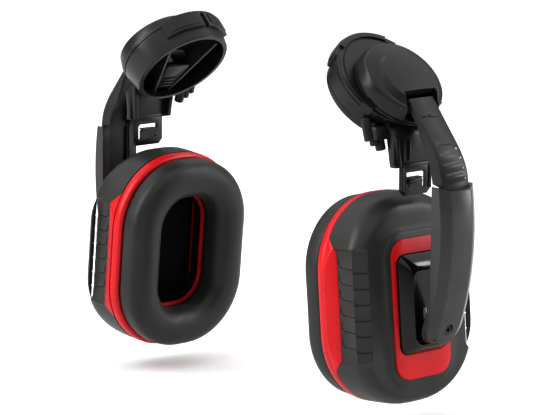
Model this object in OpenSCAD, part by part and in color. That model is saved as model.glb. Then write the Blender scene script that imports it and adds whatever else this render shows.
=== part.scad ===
// Pair of helmet-mounted earmuffs: two identical units, one each side of the helmet.
// Frame: +Z up, +X to the wearer's side, origin midway between the two helmet slots,
// level with the shoulders of the slot blades. The second unit is the first one turned
// half a turn about Z. Each unit is modelled on the +X side.

/* [Pair] */
// Distance between the two cushion faces at mid height
face_gap = 124; // [110:1:150]
// Lean of each cup, its top towards the wearer, in degrees
cup_lean = 5.4; // [0:0.1:8]

/* [Ear cup] */
// Height of the cup
cup_h = 104; // [86:1:126]
// Width of the cup, front to back
cup_w = 81; // [67:1:98]
// Radius of the cup's corners, seen from the side
cup_r = 37; // [30:0.5:40]
// Thickness of the cushion
cushion_t = 14.5; // [10:0.5:18]
// Width of the cushion's ring of foam
cushion_ring_w = 21.5; // [17:0.5:24]
// Radius of the cushion's rounded lip
cushion_lip_r = 7; // [4:0.5:7]
// Thickness of the cushion's skin
skin_t = 1.2; // [0.8:0.1:2]
// Thickness of the cushion's backing plate
plate_t = 1.5; // [1:0.1:2]
// Visible width of the trim ring
trim_t = 6.5; // [5:0.5:9]
// Depth of the shell from trim ring to flat face
shell_t = 23; // [19:0.5:28]
// Depth of the shell's straight side
shell_side_t = 12; // [9:0.5:15]
// How far the flat face is inset from the side
face_inset = 12; // [9:0.5:14]
// Wall of the shell
shell_wall = 2.6; // [2:0.1:3.2]
// Thickness of the foam liner against the shell
liner_t = 9; // [5:0.5:11]
// Height of the side grips' trim panels
side_panel_h = 54; // [40:1:60]

/* [Cup face] */
// Width of the coloured face panel
panel_w = 37.2; // [32:0.2:44]
// Height of the coloured face panel
panel_h = 68.8; // [62:0.2:80]
// Height of the panel's middle above the cup's middle
panel_up = -4; // [-6:0.5:0]
// Thickness of the panel
panel_t = 1.2; // [0.8:0.1:2]
// Width of the pivot seat at its base
seat_w = 29; // [27:0.5:33]
// Height of the pivot seat
seat_h = 48.5; // [44:0.5:58]
// Height of the seat's middle above the cup's middle
seat_up = -1.5; // [-3:0.5:1]
// How far the seat stands proud of the flat face
seat_proud = 7; // [6:0.5:8.5]
// Height of the cup's pivot above the cup's middle
pivot_up = -13.2; // [-15:0.1:-10]

/* [Pivots] */
// Radius of the tilt pin
tilt_pin_r = 1.5; // [1.2:0.05:1.9]
// Radius of the swivel pin
swivel_pin_r = 1.2; // [1:0.05:1.5]
// Distance between the tilt pin and the swivel pin
pivot_reach = 8; // [7:0.5:9]
// Radius of the hinge pin in the turret
hinge_pin_r = 1.5; // [1.2:0.05:1.8]
// Radius of the turret's hub
hub_r = 6; // [5:0.1:7.2]
// Radial running clearance of every pin and hub
run_gap = 0.05; // [0.02:0.01:0.08]

/* [Arms] */
// Width of the outer arm
outer_arm_w = 23.4; // [20:0.2:28]
// Thickness of the outer arm at its lower end
outer_arm_t = 7.5; // [6.5:0.5:9]
// Distance from the tilt pin out to the inner arm
arm_offset = 9.7; // [9:0.1:11.5]
// Width of the inner arm
inner_arm_w = 18; // [15:0.2:19]
// Thickness of the inner arm
inner_arm_t = 3.4; // [2.8:0.1:4]
// Width of the inner arm's neck in the turret
neck_w = 15; // [13:0.2:16]
// Radius of the bend in the inner arm
bend_r = 30; // [24:1:36]
// Angle of the bend in the inner arm
bend_a = 39; // [34:1:42]
// Travel of the outer arm down the inner arm
travel = 24; // [15:1:30]
// Length of inner arm that stays in the outer arm at full travel
overlap = 14; // [10:1:20]
// Gap on each face of the inner arm in its channel
slide_gap = 0.25; // [0.15:0.05:0.4]
// Spacing of the height dimples
notch_pitch = 4.8; // [4:0.2:6]

/* [Turret] */
// Distance of the turret's axis from the middle, at the clip's face
turret_x = 86.5; // [80:0.5:95]
// Height of the turret's axis above the blade's shoulder, at the clip's face
turret_z = 34.4; // [30:0.2:40]
// Tilt of the turret's axis above level
turret_tilt = 45; // [42:1:48]
// Radius of the turret cap at its base
cap_r = 23; // [21:0.5:25]
// Radius of the turret cap at its front edge
cap_front_r = 21; // [19:0.5:22]
// Height of the cap's front edge above the clip
cap_edge_h = 9.8; // [9:0.2:11.5]
// Height of the cap's dome above its front edge
dome_h = 3; // [2:0.2:4]
// Wall of the cap
cap_wall = 2.2; // [1.6:0.1:2.6]
// Thickness of the turret's base disc
base_t = 3; // [2.5:0.1:3.4]
// Width of the window in the cap
window_w = 21; // [19:0.5:22]
// Height of the hinge pin above the clip
hinge_h = 5.8; // [5.4:0.1:6.2]
// Distance of the hinge pin from the turret's axis
hinge_off = 15.5; // [14:0.5:16.5]

/* [Helmet clip] */
// Radius of the clip's hoop at the turret
hoop_r = 28; // [26:0.5:30]
// Radius of the hoop at its open rim
hoop_rim_r = 26; // [24:0.5:28]
// Depth of the hoop
hoop_depth = 15; // [12:0.5:18]
// Wall of the hoop
hoop_wall = 2.4; // [1.8:0.1:3]
// Thickness of the hoop's face plate
hoop_face_t = 3; // [2.4:0.1:3.6]
// Offset of the hoop's middle from the turret's axis
hoop_off = 7; // [5:0.5:8]
// Distance of the slot blade from the middle
blade_x = 101; // [98:0.5:104]
// Width of the slot blade
blade_w = 20; // [16:0.5:24]
// Length of the slot blade below its shoulder
blade_len = 15.3; // [12:0.1:18]
// Thickness of the slot blade
blade_t = 2; // [1.6:0.1:2.6]
// Gap between the blade's end and the top of the cup
blade_gap = 3; // [3:0.5:8]

/* [Hidden] */
$fn = 96;
eps = 0.01;
fit = 0.3;                 // clearance between separate moulded pieces
free = 0.5;                // clearance of a piece that turns past another

// Ear cup stations, measured outwards from the cushion's face
trim_c = cushion_t;
shell_c = trim_c + trim_t;
side_c = shell_c + shell_side_t;
face_c = shell_c + shell_t;
core_y = cup_w / 2 - cup_r;
core_z = cup_h / 2 - cup_r;
open_r = cup_r - cushion_ring_w;      // corner radius of the ear opening
trim_wall = 2.2;
trim_flange_t = 1.5;
side_panel_w = 5.5;
side_panel_t = 1.1;
trim_lip = 0.7;                        // the flange shows this far inside the cushion
bevel_out = 5;                         // slope of the seat's sides
trough_w = 17.2;
trough_d = 3.5;
pocket_w = 13.2;
pocket_h = 10;
pocket_floor_t = 1.5;
swivel_c = face_c + seat_proud + 3.6 - pivot_reach;
tilt_c = swivel_c + pivot_reach;
tongue_r = 3;
eye_r = 3.4;
seat_sink = face_c - (swivel_c - tongue_r - 0.4 - pocket_floor_t);
screw_r = 1.2;
screw_head_r = 2.4;
screw_head_t = 1.6;
seat_screw_y = seat_w / 2 - 4;
seat_screw_z = [seat_up + 15.5, seat_up - 18.5];
seat_screw_len = 5;

// Where the cup and its pivot hang below the helmet slots
slot_rise = cup_h / 2 + blade_gap + blade_len;
face_x = face_gap / 2;
pivot_x = face_x + tilt_c * cos(cup_lean) - pivot_up * sin(cup_lean);
pivot_z = -slot_rise + tilt_c * sin(cup_lean) + pivot_up * cos(cup_lean);

// Turret directions in the X-Z plane, and the window where the inner arm leaves it
axis_x = cos(turret_tilt);
axis_z = sin(turret_tilt);
window_h = cap_edge_h - 0.4;
window_off = 15;
exit_x = turret_x + window_h * axis_x + window_off * axis_z;
exit_z = turret_z + window_h * axis_z - window_off * axis_x;

// Inner arm: a line from the turret, a bend, and a straight stretch down
arm_x = pivot_x + arm_offset;
bend_x = arm_x - bend_r;
bend_z = exit_z - (bend_x + bend_r * cos(bend_a) - exit_x) / tan(bend_a) - bend_r * sin(bend_a);
sleeve_top = bend_z + 2;
arm_end = sleeve_top - travel - overlap;
knuckle_r = 3;
dimples = 7;
dimple_r = 0.9;
dimple_d = 0.6;

// Outer arm: bowed outside, straight channel inside
arm_out = 6.3;                         // outer surface beyond the inner arm at the bow's top
bow_z = sleeve_top - 24;
end_out = 8.1;                         // outer surface beyond the tilt pin
end_drop = 7.5;                        // the arm reaches this far below the tilt pin
bow_h = bow_z - pivot_z;
bow_s = arm_x + arm_out - pivot_x - end_out;
bow_r = (bow_h * bow_h + bow_s * bow_s) / (2 * bow_s);
bow_x = arm_x + arm_out - bow_r;
lip_t = 1.4;
lip_w = 2.6;
channel_w = inner_arm_w + 2 * fit;
channel_in = arm_x - inner_arm_t / 2 - slide_gap;
channel_out = arm_x + inner_arm_t / 2 + slide_gap;
end_pocket_w = 14.6;
ear_r = 3.2;
ear_t = 2.3;
web_t = 2;
end_pocket_x = pivot_x + 5.7;
eye_w = 8.8;
arm_screw_r = 1.2;
arm_screw_head_r = 2.6;

// Turret
hub_gap = 1;                           // room for the detent spring under the washer
washer_t = 1;
washer_r = 10;
wire_r = 0.35;
coil_r = 2.3;
coil_turns = 2.5;
coil_steps = 14;
boss_w = 4;
cap_screw_y = 12;
cap_screw_z = 8;
cover_z = 13;
knuckle_span = [-hinge_off - knuckle_r - 0.8, -hinge_off + knuckle_r + 1.6];
tail = 1.5;                            // the inner arm runs on this far past the window's middle

SIDES = ["right", "left"];
PIECES = ["helmet_clip", "clip_cover", "turret_base", "turret_cap", "cap_screws", "hub_washer",
          "hub_screw", "detent_spring", "hinge_pin", "inner_arm", "arm_spring", "outer_arm",
          "catch_spring", "pivot_carrier", "arm_screw", "tilt_pin", "swivel_yoke", "swivel_pin",
          "pivot_seat", "seat_screws", "face_panel", "cup_shell", "trim_ring", "foam_liner",
          "cushion_plate", "cushion_foam", "cushion_skin"];

black = "#1b1b1c";
satin = "#2a2a2c";
gloss = "#0c0c0d";
grey = "#47484a";
red = "#d3222a";
foam = "#242425";
steel = "#a9adb2";

// ---------------------------------------------------------------- shared shapes

// Cup frame: local X outwards from the cushion's face, local Z up the leaning cup
module on_cup() {
    translate([face_x, 0, -slot_rise]) rotate([0, -cup_lean, 0]) children();
}

// Turret frame: local X along the turret's axis, local Z towards the top of the clip
module on_turret() {
    translate([turret_x, 0, turret_z]) rotate([0, -turret_tilt, 0]) children();
}

// A flat outline in (Y, Z), raised along X
module raised(from, to) {
    translate([from, 0, 0]) rotate([90, 0, 90]) linear_extrude(to - from) children();
}

// An outline in (X, Z), thickened along Y about the middle
module across(w) {
    rotate([90, 0, 0]) linear_extrude(w, center = true) children();
}

module rod_x(r, from, to) {
    translate([from, 0, 0]) rotate([0, 90, 0]) cylinder(r = r, h = to - from);
}

module rod_y(r, w) {
    rotate([90, 0, 0]) cylinder(r = r, h = w, center = true);
}

module block(x, y, z) {
    translate([x[0], y[0], z[0]]) cube([x[1] - x[0], y[1] - y[0], z[1] - z[0]]);
}

module rounded_outline(w, h, r) {
    square([w - 2 * r, h], center = true);
    square([w, h - 2 * r], center = true);
    for (a = [-1, 1], b = [-1, 1]) translate([a * (w / 2 - r), b * (h / 2 - r)]) circle(r);
}

// The cup's outline, drawn in by a distance
module cup_outline(inset) {
    rounded_outline(cup_w - 2 * inset, cup_h - 2 * inset, cup_r - inset);
}

// A section of (distance from the corner's centre, height) carried round the cup's outline
module around_cup() {
    rotate([90, 0, 90]) {
        for (q = [0:3])
            translate([(q == 0 || q == 3 ? 1 : -1) * core_y, (q < 2 ? 1 : -1) * core_z, 0])
                rotate(90 * q) rotate_extrude(angle = 90) children();
        for (s = [-1, 1]) {
            translate([s * core_y, s * core_z, 0]) rotate([90, 0, s > 0 ? 0 : 180])
                linear_extrude(2 * core_z) children();
            translate([-s * core_y, s * core_z, 0]) rotate([90, 0, s > 0 ? 90 : -90])
                linear_extrude(2 * core_y) children();
        }
    }
}

// ---------------------------------------------------------------- helmet clip

module hoop_hollow(grow) {
    translate([0, 0, hoop_off]) rotate([0, 90, 0]) translate([0, 0, -hoop_depth - grow])
        cylinder(r1 = hoop_rim_r - hoop_wall, r2 = hoop_r - hoop_wall,
                 h = hoop_depth - hoop_face_t + grow);
}

// L-shaped slot that frees the blade's latch tongue
module latch_slot() {
    leg = 2.4;
    top = -4;
    reach = blade_w / 2 - 3.4;
    block([-3, 3], [-reach, reach], [top - leg, top]);
    block([-3, 3], [reach - leg, reach], [-blade_len + 4, top]);
}

module slot_blade() {
    rim = 1.5;
    corner = 2.5;
    half = blade_w / 2;
    difference() {
        union() {
            rotate([90, 0, 90]) linear_extrude(blade_t, center = true)
                polygon([[-half, 1], [half, 1], [half, -blade_len + corner],
                         [half - corner, -blade_len], [-half + corner, -blade_len],
                         [-half, -blade_len + corner]]);
            for (s = [-1, 1])
                block([0, blade_t / 2 + 0.6], [s > 0 ? half - rim : -half, s > 0 ? half : -half + rim],
                      [-blade_len + corner, 1]);
        }
        latch_slot();
        translate([0, -half + 5, -blade_len + 4.6]) rod_x(0.6, -3, 3);
    }
}

// Stiff carrier between the hoop and the blade, cut clear of the turret
module blade_carrier() {
    rail = 2.2;
    half = blade_w / 2 + 1;
    for (s = [-1, 1])
        block([blade_x - 6, blade_x + 2.5],
              [s > 0 ? half - rail : -half, s > 0 ? half : -half + rail],
              [0, 22]);
    block([blade_x - 1.4, blade_x + 1.6], [-half, half], [0, 22]);
    block([blade_x, blade_x + 2.4], [-6.5, -4.7], [2, 20]);
    for (i = [0:2])
        block([blade_x - 7, blade_x - 1], [-half - 3.6 * (i + 1), -half - 3.6 * i + eps],
              [2.4 + 2.2 * i, 12 + 3.5 * i]);
}

module helmet_clip() {
    rib_a = 24;
    color(black) difference() {
        union() {
            on_turret() difference() {
                translate([0, 0, hoop_off]) rotate([0, 90, 0]) translate([0, 0, -hoop_depth])
                    cylinder(r1 = hoop_rim_r, r2 = hoop_r, h = hoop_depth);
                hoop_hollow(1);
            }
            difference() {
                blade_carrier();
                on_turret() hoop_hollow(1);
                on_turret() block([-0.6, 30], [-40, 40], [-60, 60]);
            }
            translate([blade_x, 0, 0]) slot_blade();
            on_turret() intersection() {
                for (s = [-1, 1])
                    translate([0, s * 4, hoop_off - hoop_rim_r]) rotate([-s * rib_a, 0, 0])
                        block([-hoop_depth + 4, -hoop_face_t + eps], [-1, 1], [0, 2 * hoop_r]);
                translate([eps, 0, 0]) hoop_hollow(0);
            }
        }
        on_turret() {
            rod_x(hub_r + run_gap, -hoop_depth, 1);
            rod_x(washer_r + free, -hoop_depth, -hoop_face_t);
        }
    }
}

// Plate that snaps in behind the turret's hub and hides it
module clip_cover() {
    outer = hoop_off + cover_z;
    color(satin) on_turret() difference() {
        raised(-hoop_depth + 2.2, -hoop_depth + 4 - fit)
            polygon([[-6, hoop_off - hoop_rim_r + 6], [6, hoop_off - hoop_rim_r + 6],
                     [13, outer], [-13, outer]]);
        for (i = [0:2])
            translate([0, 0, -10 + 2.4 * i])
                block([-hoop_depth + 2, -hoop_depth + 2.8], [-4.5, 4.5], [0, 1.2]);
    }
}

// ---------------------------------------------------------------- turret

module turret_base() {
    color(black) on_turret() difference() {
        union() {
            rod_x(cap_r, fit, base_t + fit);
            rod_x(hub_r, -hoop_face_t - hub_gap, fit + eps);
        }
        rod_x(screw_r, -hoop_depth, base_t - 0.4);
        block([hinge_h - knuckle_r - free, base_t + 1], [-window_w / 2, window_w / 2], knuckle_span);
        for (s = [-1, 1]) translate([0, s * cap_screw_y, cap_screw_z]) {
            rod_x(screw_r, -1, base_t + 1);
            rod_x(screw_head_r, -1, fit + screw_head_t);
        }
    }
}

// The cap's profile as (radius, height), drawn in by a wall
module cap_profile(wall) {
    top = cap_edge_h + dome_h - wall;
    polygon(concat([[0, base_t + fit],
                    [cap_r - wall, base_t + fit],
                    [cap_front_r + 0.9 - wall, cap_edge_h - 1.2 - wall],
                    [cap_front_r - wall, cap_edge_h - wall / 2]],
                   [for (i = [1:5]) let (u = 1 - i / 5)
                       [(cap_front_r - wall) * u, cap_edge_h - wall / 2
                        + (top - cap_edge_h + wall / 2) * (1 - u * u)]]));
}

module turret_cap() {
    boss_y = window_w / 2;
    notch_h = window_h - inner_arm_t / 2 - 1.1;
    color(black) on_turret() difference() {
        union() {
            difference() {
                rotate([0, 90, 0]) rotate_extrude() cap_profile(0);
                rotate([0, 90, 0]) translate([0, 0, -eps]) rotate_extrude() cap_profile(cap_wall);
            }
            intersection() {
                rotate([0, 90, 0]) rotate_extrude() cap_profile(0);
                union() {
                    for (s = [-1, 1])
                        block([base_t + fit, cap_edge_h + 2], [s > 0 ? boss_y : -boss_y - boss_w,
                              s > 0 ? boss_y + boss_w : -boss_y], [-hinge_off - 5, -hinge_off + 6]);
                    for (s = [-1, 1]) translate([0, s * cap_screw_y, cap_screw_z])
                        rod_x(3, base_t + fit, cap_edge_h + 1);
                }
            }
        }
        block([notch_h, cap_edge_h + dome_h + 1], [-window_w / 2, window_w / 2],
              [-cap_r - 2, knuckle_span[1]]);
        block([base_t, notch_h + 1], [-window_w / 2, window_w / 2], knuckle_span);
        translate([hinge_h, 0, -hinge_off]) rod_y(hinge_pin_r, window_w + 2 * boss_w - 1);
        for (s = [-1, 1]) translate([0, s * cap_screw_y, cap_screw_z])
            rod_x(screw_r, base_t, cap_edge_h - 0.8);
    }
}

module cap_screws() {
    color(steel) on_turret()
        for (s = [-1, 1]) translate([0, s * cap_screw_y, cap_screw_z]) {
            rod_x(screw_r, fit + screw_head_t - eps, cap_edge_h - 2);
            rod_x(screw_head_r - 0.1, fit + 0.2, fit + screw_head_t);
        }
}

module hub_washer() {
    back = -hoop_face_t - hub_gap;
    color(steel) on_turret() difference() {
        rod_x(washer_r, back - washer_t, back);
        rod_x(screw_r + 0.2, back - washer_t - 1, back + 1);
    }
}

module hub_screw() {
    back = -hoop_face_t - hub_gap - washer_t;
    color(steel) on_turret() {
        rod_x(screw_head_r, back - screw_head_t, back);
        rod_x(screw_r, back - eps, base_t - 0.8);
    }
}

// Thin wavy washer, shown pressed flat between the clip and the hub washer
module detent_spring() {
    color(steel) on_turret() difference() {
        rod_x(washer_r - 0.6, -hoop_face_t - hub_gap, -hoop_face_t - 0.35);
        rod_x(hub_r + fit, -hoop_depth, 0);
    }
}

module hinge_pin() {
    color(steel) on_turret() translate([hinge_h, 0, -hinge_off])
        rod_y(hinge_pin_r, window_w + 2 * boss_w - 1.4);
}

// ---------------------------------------------------------------- arms

// Points down one side of the inner arm, off its middle line
function arm_side(off) = concat(
    [[arm_x + off, arm_end], [arm_x + off, bend_z]],
    [for (a = [3:3:bend_a]) [bend_x + (bend_r + off) * cos(a), bend_z + (bend_r + off) * sin(a)]],
    [[exit_x - tail * sin(bend_a) + off * cos(bend_a), exit_z + tail * cos(bend_a) + off * sin(bend_a)]]);
function back_to_front(list) = [for (i = [len(list) - 1:-1:0]) list[i]];

module arm_blank() {
    polygon(concat(arm_side(inner_arm_t / 2), back_to_front(arm_side(-inner_arm_t / 2))));
}

module inner_arm() {
    neck_end = bend_z + bend_r * sin(bend_a) + 4;
    neck_low = -hinge_off - knuckle_r + 0.4;
    knuckle_step = 0.2;                // keeps the knuckle's end faces inside the neck's sides
    color(satin) difference() {
        union() {
            intersection() {
                across(inner_arm_w) arm_blank();
                union() {
                    block([0, 2 * arm_x], [-inner_arm_w / 2, inner_arm_w / 2], [arm_end - 1, neck_end]);
                    block([0, 2 * arm_x], [-neck_w / 2, neck_w / 2], [neck_end - 1, exit_z + 30]);
                }
            }
            on_turret() {
                translate([hinge_h, 0, -hinge_off]) rod_y(knuckle_r, neck_w - 2 * knuckle_step);
                across(neck_w - 4 * knuckle_step)
                    polygon([[hinge_h, -hinge_off + knuckle_r - 1], [window_h, -hinge_off + 1],
                             [window_h, neck_low], [hinge_h, neck_low]]);
            }
        }
        on_turret() translate([hinge_h, 0, -hinge_off]) rod_y(hinge_pin_r + run_gap, neck_w + 1);
        for (i = [0:dimples - 1])
            translate([arm_x + inner_arm_t / 2, inner_arm_w / 2 - 2.4, bend_z + 12 - notch_pitch * (i + 2)])
                rod_x(dimple_r, -dimple_d, 1);
    }
}

function coil_point(i) = let (a = 360 * i / coil_steps)
    [coil_r * cos(a), neck_w / 2 + fit + wire_r * (1 + 2.05 * i / coil_steps), coil_r * sin(a)];
function coil_ring(i) = let (a = 360 * i / coil_steps, p = coil_point(i))
    [for (k = [0:7]) p + wire_r * (cos(45 * k) * [cos(a), 0, sin(a)] + sin(45 * k) * [0, 1, 0])];

// Torsion spring beside the knuckle: one swept coil
module arm_spring() {
    rings = coil_turns * coil_steps;
    points = [for (i = [0:rings]) for (p = coil_ring(i)) p];
    sides = [for (i = [0:rings - 1]) for (k = [0:7]) let (n = (k + 1) % 8)
                 [8 * i + k, 8 * i + n, 8 * i + 8 + n, 8 * i + 8 + k]];
    ends = [[for (k = [7:-1:0]) k], [for (k = [0:7]) 8 * rings + k]];
    color(steel) on_turret() translate([hinge_h, 0, -hinge_off])
        polyhedron(points, concat(sides, ends), convexity = 4);
}

// Outline of the outer arm in (X, Z): bowed outside, straight beside the channel
function bow_point(r, z) = [bow_x + sqrt(r * r - (z - bow_z) * (z - bow_z)), z];
module outer_arm_outline() {
    bottom = pivot_z - end_drop;
    steps = 14;
    inner_r = bow_r - outer_arm_t;
    flat_x = channel_in - lip_t;
    low = arm_end - 1;
    end_in = pivot_x + 1;
    polygon(concat(
        [for (i = [0:steps]) bow_point(bow_r, sleeve_top + (bottom - sleeve_top) * i / steps)],
        [[max(end_in, bow_point(bow_r, bottom)[0] - 5), bottom], [end_in, pivot_z + 6]],
        [for (i = [1:4])
            let (p = bow_point(inner_r, pivot_z + 6 + (low - pivot_z - 6) * i / 5))
            [min(p[0], flat_x + 1), p[1]]],
        [[flat_x, low], [flat_x, sleeve_top]]));
}

module outer_arm() {
    half = outer_arm_w / 2;
    bottom = pivot_z - end_drop;
    round_r = 8;
    color(gloss) difference() {
        intersection() {
            across(outer_arm_w) outer_arm_outline();
            raised(0, 2 * arm_x) union() {
                translate([-half, bottom + round_r]) square([outer_arm_w, sleeve_top - bottom]);
                translate([-half + round_r, bottom]) square([outer_arm_w - 2 * round_r, round_r + 1]);
                for (s = [-1, 1]) translate([s * (half - round_r), bottom + round_r]) circle(round_r);
            }
        }
        block([channel_in, channel_out], [-channel_w / 2, channel_w / 2], [arm_end - 1, sleeve_top + 1]);
        block([0, channel_in + 1],
              [-channel_w / 2 + lip_w, channel_w / 2 - lip_w],
              [arm_end - 1, sleeve_top + 1]);
        block([0, end_pocket_x], [-end_pocket_w / 2, end_pocket_w / 2], [pivot_z - 5.6, arm_end - 3]);
        block([channel_out - 1, channel_out + 1.2],
              [channel_w / 2 - 5, channel_w / 2 - 1],
              [sleeve_top - 20, sleeve_top - 5]);
        translate([0, 0, pivot_z]) rod_x(arm_screw_r + 0.1, pivot_x, pivot_x + 20);
        translate([0, 0, pivot_z]) rod_x(arm_screw_head_r + 0.1, pivot_x + end_out - 1.4, pivot_x + 20);
    }
}

// Leaf that clicks over the dimples of the inner arm
module catch_spring() {
    color(steel) translate([channel_out, channel_w / 2 - 3, sleeve_top]) {
        block([0.7, 1.2], [-1.7, 1.7], [-19.6, -5.4]);
        block([0.1, 0.8], [-1, 1], [-13.5, -12.5]);
    }
}

module pivot_carrier() {
    ear_y = end_pocket_w / 2 - fit;
    color(black) translate([pivot_x, 0, pivot_z]) difference() {
        union() {
            block([5.7 - web_t, 5.7], [-ear_y, ear_y], [-5, 8]);
            for (s = [-1, 1]) translate([0, s * (ear_y - ear_t / 2), 0]) {
                rod_y(ear_r, ear_t);
                block([0, 5.7], [-ear_t / 2, ear_t / 2], [-ear_r, ear_r]);
            }
        }
        rod_y(tilt_pin_r, end_pocket_w);
        rod_x(arm_screw_r, 0, 10);
    }
}

module arm_screw() {
    top = end_out - 0.5;
    color(black) translate([pivot_x, 0, pivot_z]) difference() {
        union() {
            rod_x(arm_screw_head_r, end_out - 1.4, top);
            rod_x(arm_screw_r, 2.6, end_out - 1.4 + eps);
        }
        translate([top - 0.8, 0, 0]) rotate([90, 0, 90]) cylinder(r = 1.2, h = 2, $fn = 6);
    }
}

module tilt_pin() {
    color(steel) translate([pivot_x, 0, pivot_z]) rod_y(tilt_pin_r, end_pocket_w - 2 * fit);
}

// ---------------------------------------------------------------- cup pivot

module swivel_yoke() {
    fork_gap = 3.4;
    tongue_h = 8;
    color(black) on_cup() translate([0, 0, pivot_up]) difference() {
        union() {
            translate([tilt_c, 0, 0]) rod_y(eye_r, eye_w);
            block([swivel_c, tilt_c], [-tongue_r, tongue_r], [-3, 3]);
            translate([swivel_c, 0, 0]) cylinder(r = tongue_r, h = tongue_h, center = true);
        }
        translate([tilt_c, 0, 0]) rod_y(tilt_pin_r + run_gap, eye_w + 1);
        translate([swivel_c, 0, 0]) cylinder(r = swivel_pin_r + run_gap, h = 20, center = true);
        block([tilt_c - 0.5, tilt_c + 6], [-fork_gap / 2, fork_gap / 2], [-6, 6]);
    }
}

module swivel_pin() {
    color(steel) on_cup() translate([swivel_c, 0, pivot_up])
        cylinder(r = swivel_pin_r, h = pocket_h + 8, center = true);
}

module pivot_seat() {
    top = face_c + seat_proud;
    plug_w = pocket_w + 2 * 1.6;
    plug_h = pocket_h + 2 * 1.6;
    color(gloss) on_cup() difference() {
        union() {
            seat_solid();
            block([face_c - seat_sink, face_c + 1],
                  [-plug_w / 2, plug_w / 2],
                  [pivot_up - plug_h / 2, pivot_up + plug_h / 2]);
        }
        raised(top - trough_d, top + 1) translate([0, seat_up - 1]) rounded_outline(trough_w, seat_h - 9, 4);
        block([face_c - seat_sink + pocket_floor_t, top + 1], [-pocket_w / 2, pocket_w / 2],
              [pivot_up - pocket_h / 2, pivot_up + pocket_h / 2]);
        translate([swivel_c, 0, pivot_up]) cylinder(r = swivel_pin_r, h = pocket_h + 8.4, center = true);
        for (s = [-1, 1], z = seat_screw_z)
            translate([0, s * seat_screw_y, z])
                rod_x(screw_r, face_c - 1, face_c + seat_screw_len - shell_wall + 0.4);
    }
}

// Seat body: outline in (Y, Z) cut by sloped planes on its sides and ends
module seat_solid() {
    half_w = seat_w / 2;
    half_h = seat_h / 2;
    top = face_c + seat_proud;
    knee = face_c + 2;
    intersection() {
        raised(face_c, top) translate([0, seat_up]) rounded_outline(seat_w, seat_h, 5);
        linear_extrude(4 * seat_h, center = true)
            polygon([[face_c - 1, -half_w], [knee, -half_w], [top, bevel_out - half_w],
                     [top, half_w - bevel_out], [knee, half_w], [face_c - 1, half_w]]);
        across(seat_w + 2)
            polygon([[face_c - 1, seat_up - half_h], [knee, seat_up - half_h], [top, seat_up - half_h + 3],
                     [top, seat_up + half_h - 5], [knee, seat_up + half_h], [face_c - 1, seat_up + half_h]]);
    }
}

module seat_screws() {
    color(steel) on_cup() for (s = [-1, 1], z = seat_screw_z) translate([0, s * seat_screw_y, z]) {
        rod_x(screw_head_r, face_c - shell_wall - screw_head_t, face_c - shell_wall);
        rod_x(screw_r, face_c - shell_wall - eps, face_c - shell_wall + seat_screw_len);
    }
}

// ---------------------------------------------------------------- ear cup

module face_panel() {
    color(red) on_cup() difference() {
        raised(face_c, face_c + panel_t) translate([0, panel_up]) rounded_outline(panel_w, panel_h, 9);
        raised(face_c - 1, face_c + panel_t + 1) translate([0, seat_up])
            rounded_outline(seat_w + 0.2, seat_h + 0.2, 5.1);
    }
}

// The shell's section as (distance from the corner's centre, height), drawn in by a wall
module shell_section(wall) {
    r = cup_r - wall;
    top = face_c - wall;
    rise = top - side_c;
    polygon(concat([[0, shell_c - eps * wall], [r, shell_c - eps * wall]],
                   [for (i = [0:5]) let (a = 90 * i / 5)
                       [r - face_inset * (1 - cos(a)), side_c + rise * sin(a)]],
                   [[0, top]]));
}

module shell_solid(wall) {
    around_cup() shell_section(wall);
    raised(shell_c - eps * wall, face_c - wall) square([2 * core_y + eps, 2 * core_z + eps], center = true);
}

module cup_shell() {
    plug_w = pocket_w + 2 * 1.6 + 0.2;
    plug_h = pocket_h + 2 * 1.6 + 0.2;
    color(grey) on_cup() difference() {
        shell_solid(0);
        shell_solid(shell_wall);
        block([face_c - 6, face_c + 1],
              [-plug_w / 2, plug_w / 2],
              [pivot_up - plug_h / 2, pivot_up + plug_h / 2]);
        for (s = [-1, 1], z = seat_screw_z)
            translate([0, s * seat_screw_y, z]) rod_x(screw_r + 0.1, face_c - 6, face_c + 1);
        side_panel(0.1);
    }
}

// Tall panel of the trim ring, let into each side of the shell
module side_panel(grow) {
    half = side_panel_h / 2 + grow;
    edge = shell_c + side_panel_w + grow;
    intersection() {
        raised(shell_c - 1, edge) difference() {
            cup_outline(0);
            cup_outline(side_panel_t + grow);
        }
        across(cup_w + 2)
            polygon([[shell_c - 2, -half - side_panel_w], [edge, -half], [edge, half],
                     [shell_c - 2, half + side_panel_w]]);
        difference() {
            raised(0, face_c) square([2 * cup_w, cup_h], center = true);
            raised(-1, face_c + 1) square([cup_w / 2, 2 * cup_h], center = true);
        }
    }
}

module trim_ring() {
    wall = trim_wall;
    color(red) on_cup() {
        around_cup() {
            translate([cup_r - 0.3 - wall, trim_c]) square([wall, trim_t]);
            translate([open_r - trim_lip, trim_c + plate_t])
                square([cup_r - 0.3 - wall - open_r + trim_lip + eps, trim_flange_t]);
        }
        side_panel(0);
    }
}

module foam_liner() {
    back = face_c - shell_wall - screw_head_t - 0.6;
    front = trim_c + plate_t + trim_flange_t + 1.5;
    inset = 6;
    side = 5;
    color(foam) on_cup() difference() {
        raised(front, back) cup_outline(face_inset + inset - 4);
        raised(front - 1, back - liner_t) cup_outline(face_inset + inset - 4 + side);
    }
}

module cushion_plate() {
    color(black) on_cup() around_cup()
        translate([open_r + 0.4, trim_c]) square([cup_r - 0.5 - trim_wall - open_r - 0.4, plate_t]);
}

// The cushion's section, drawn in by a wall, open at the back
module cushion_section(wall, depth) {
    lip = cushion_lip_r - wall;
    in_r = open_r + wall;
    out_r = cup_r - wall;
    polygon(concat(
        [[in_r, depth]],
        [for (i = [0:6]) let (a = 180 + 15 * i) [in_r + lip + lip * cos(a), wall + lip + lip * sin(a)]],
        [for (i = [0:6]) let (a = 270 + 15 * i) [out_r - lip + lip * cos(a), wall + lip + lip * sin(a)]],
        [[out_r, depth]]));
}

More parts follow.
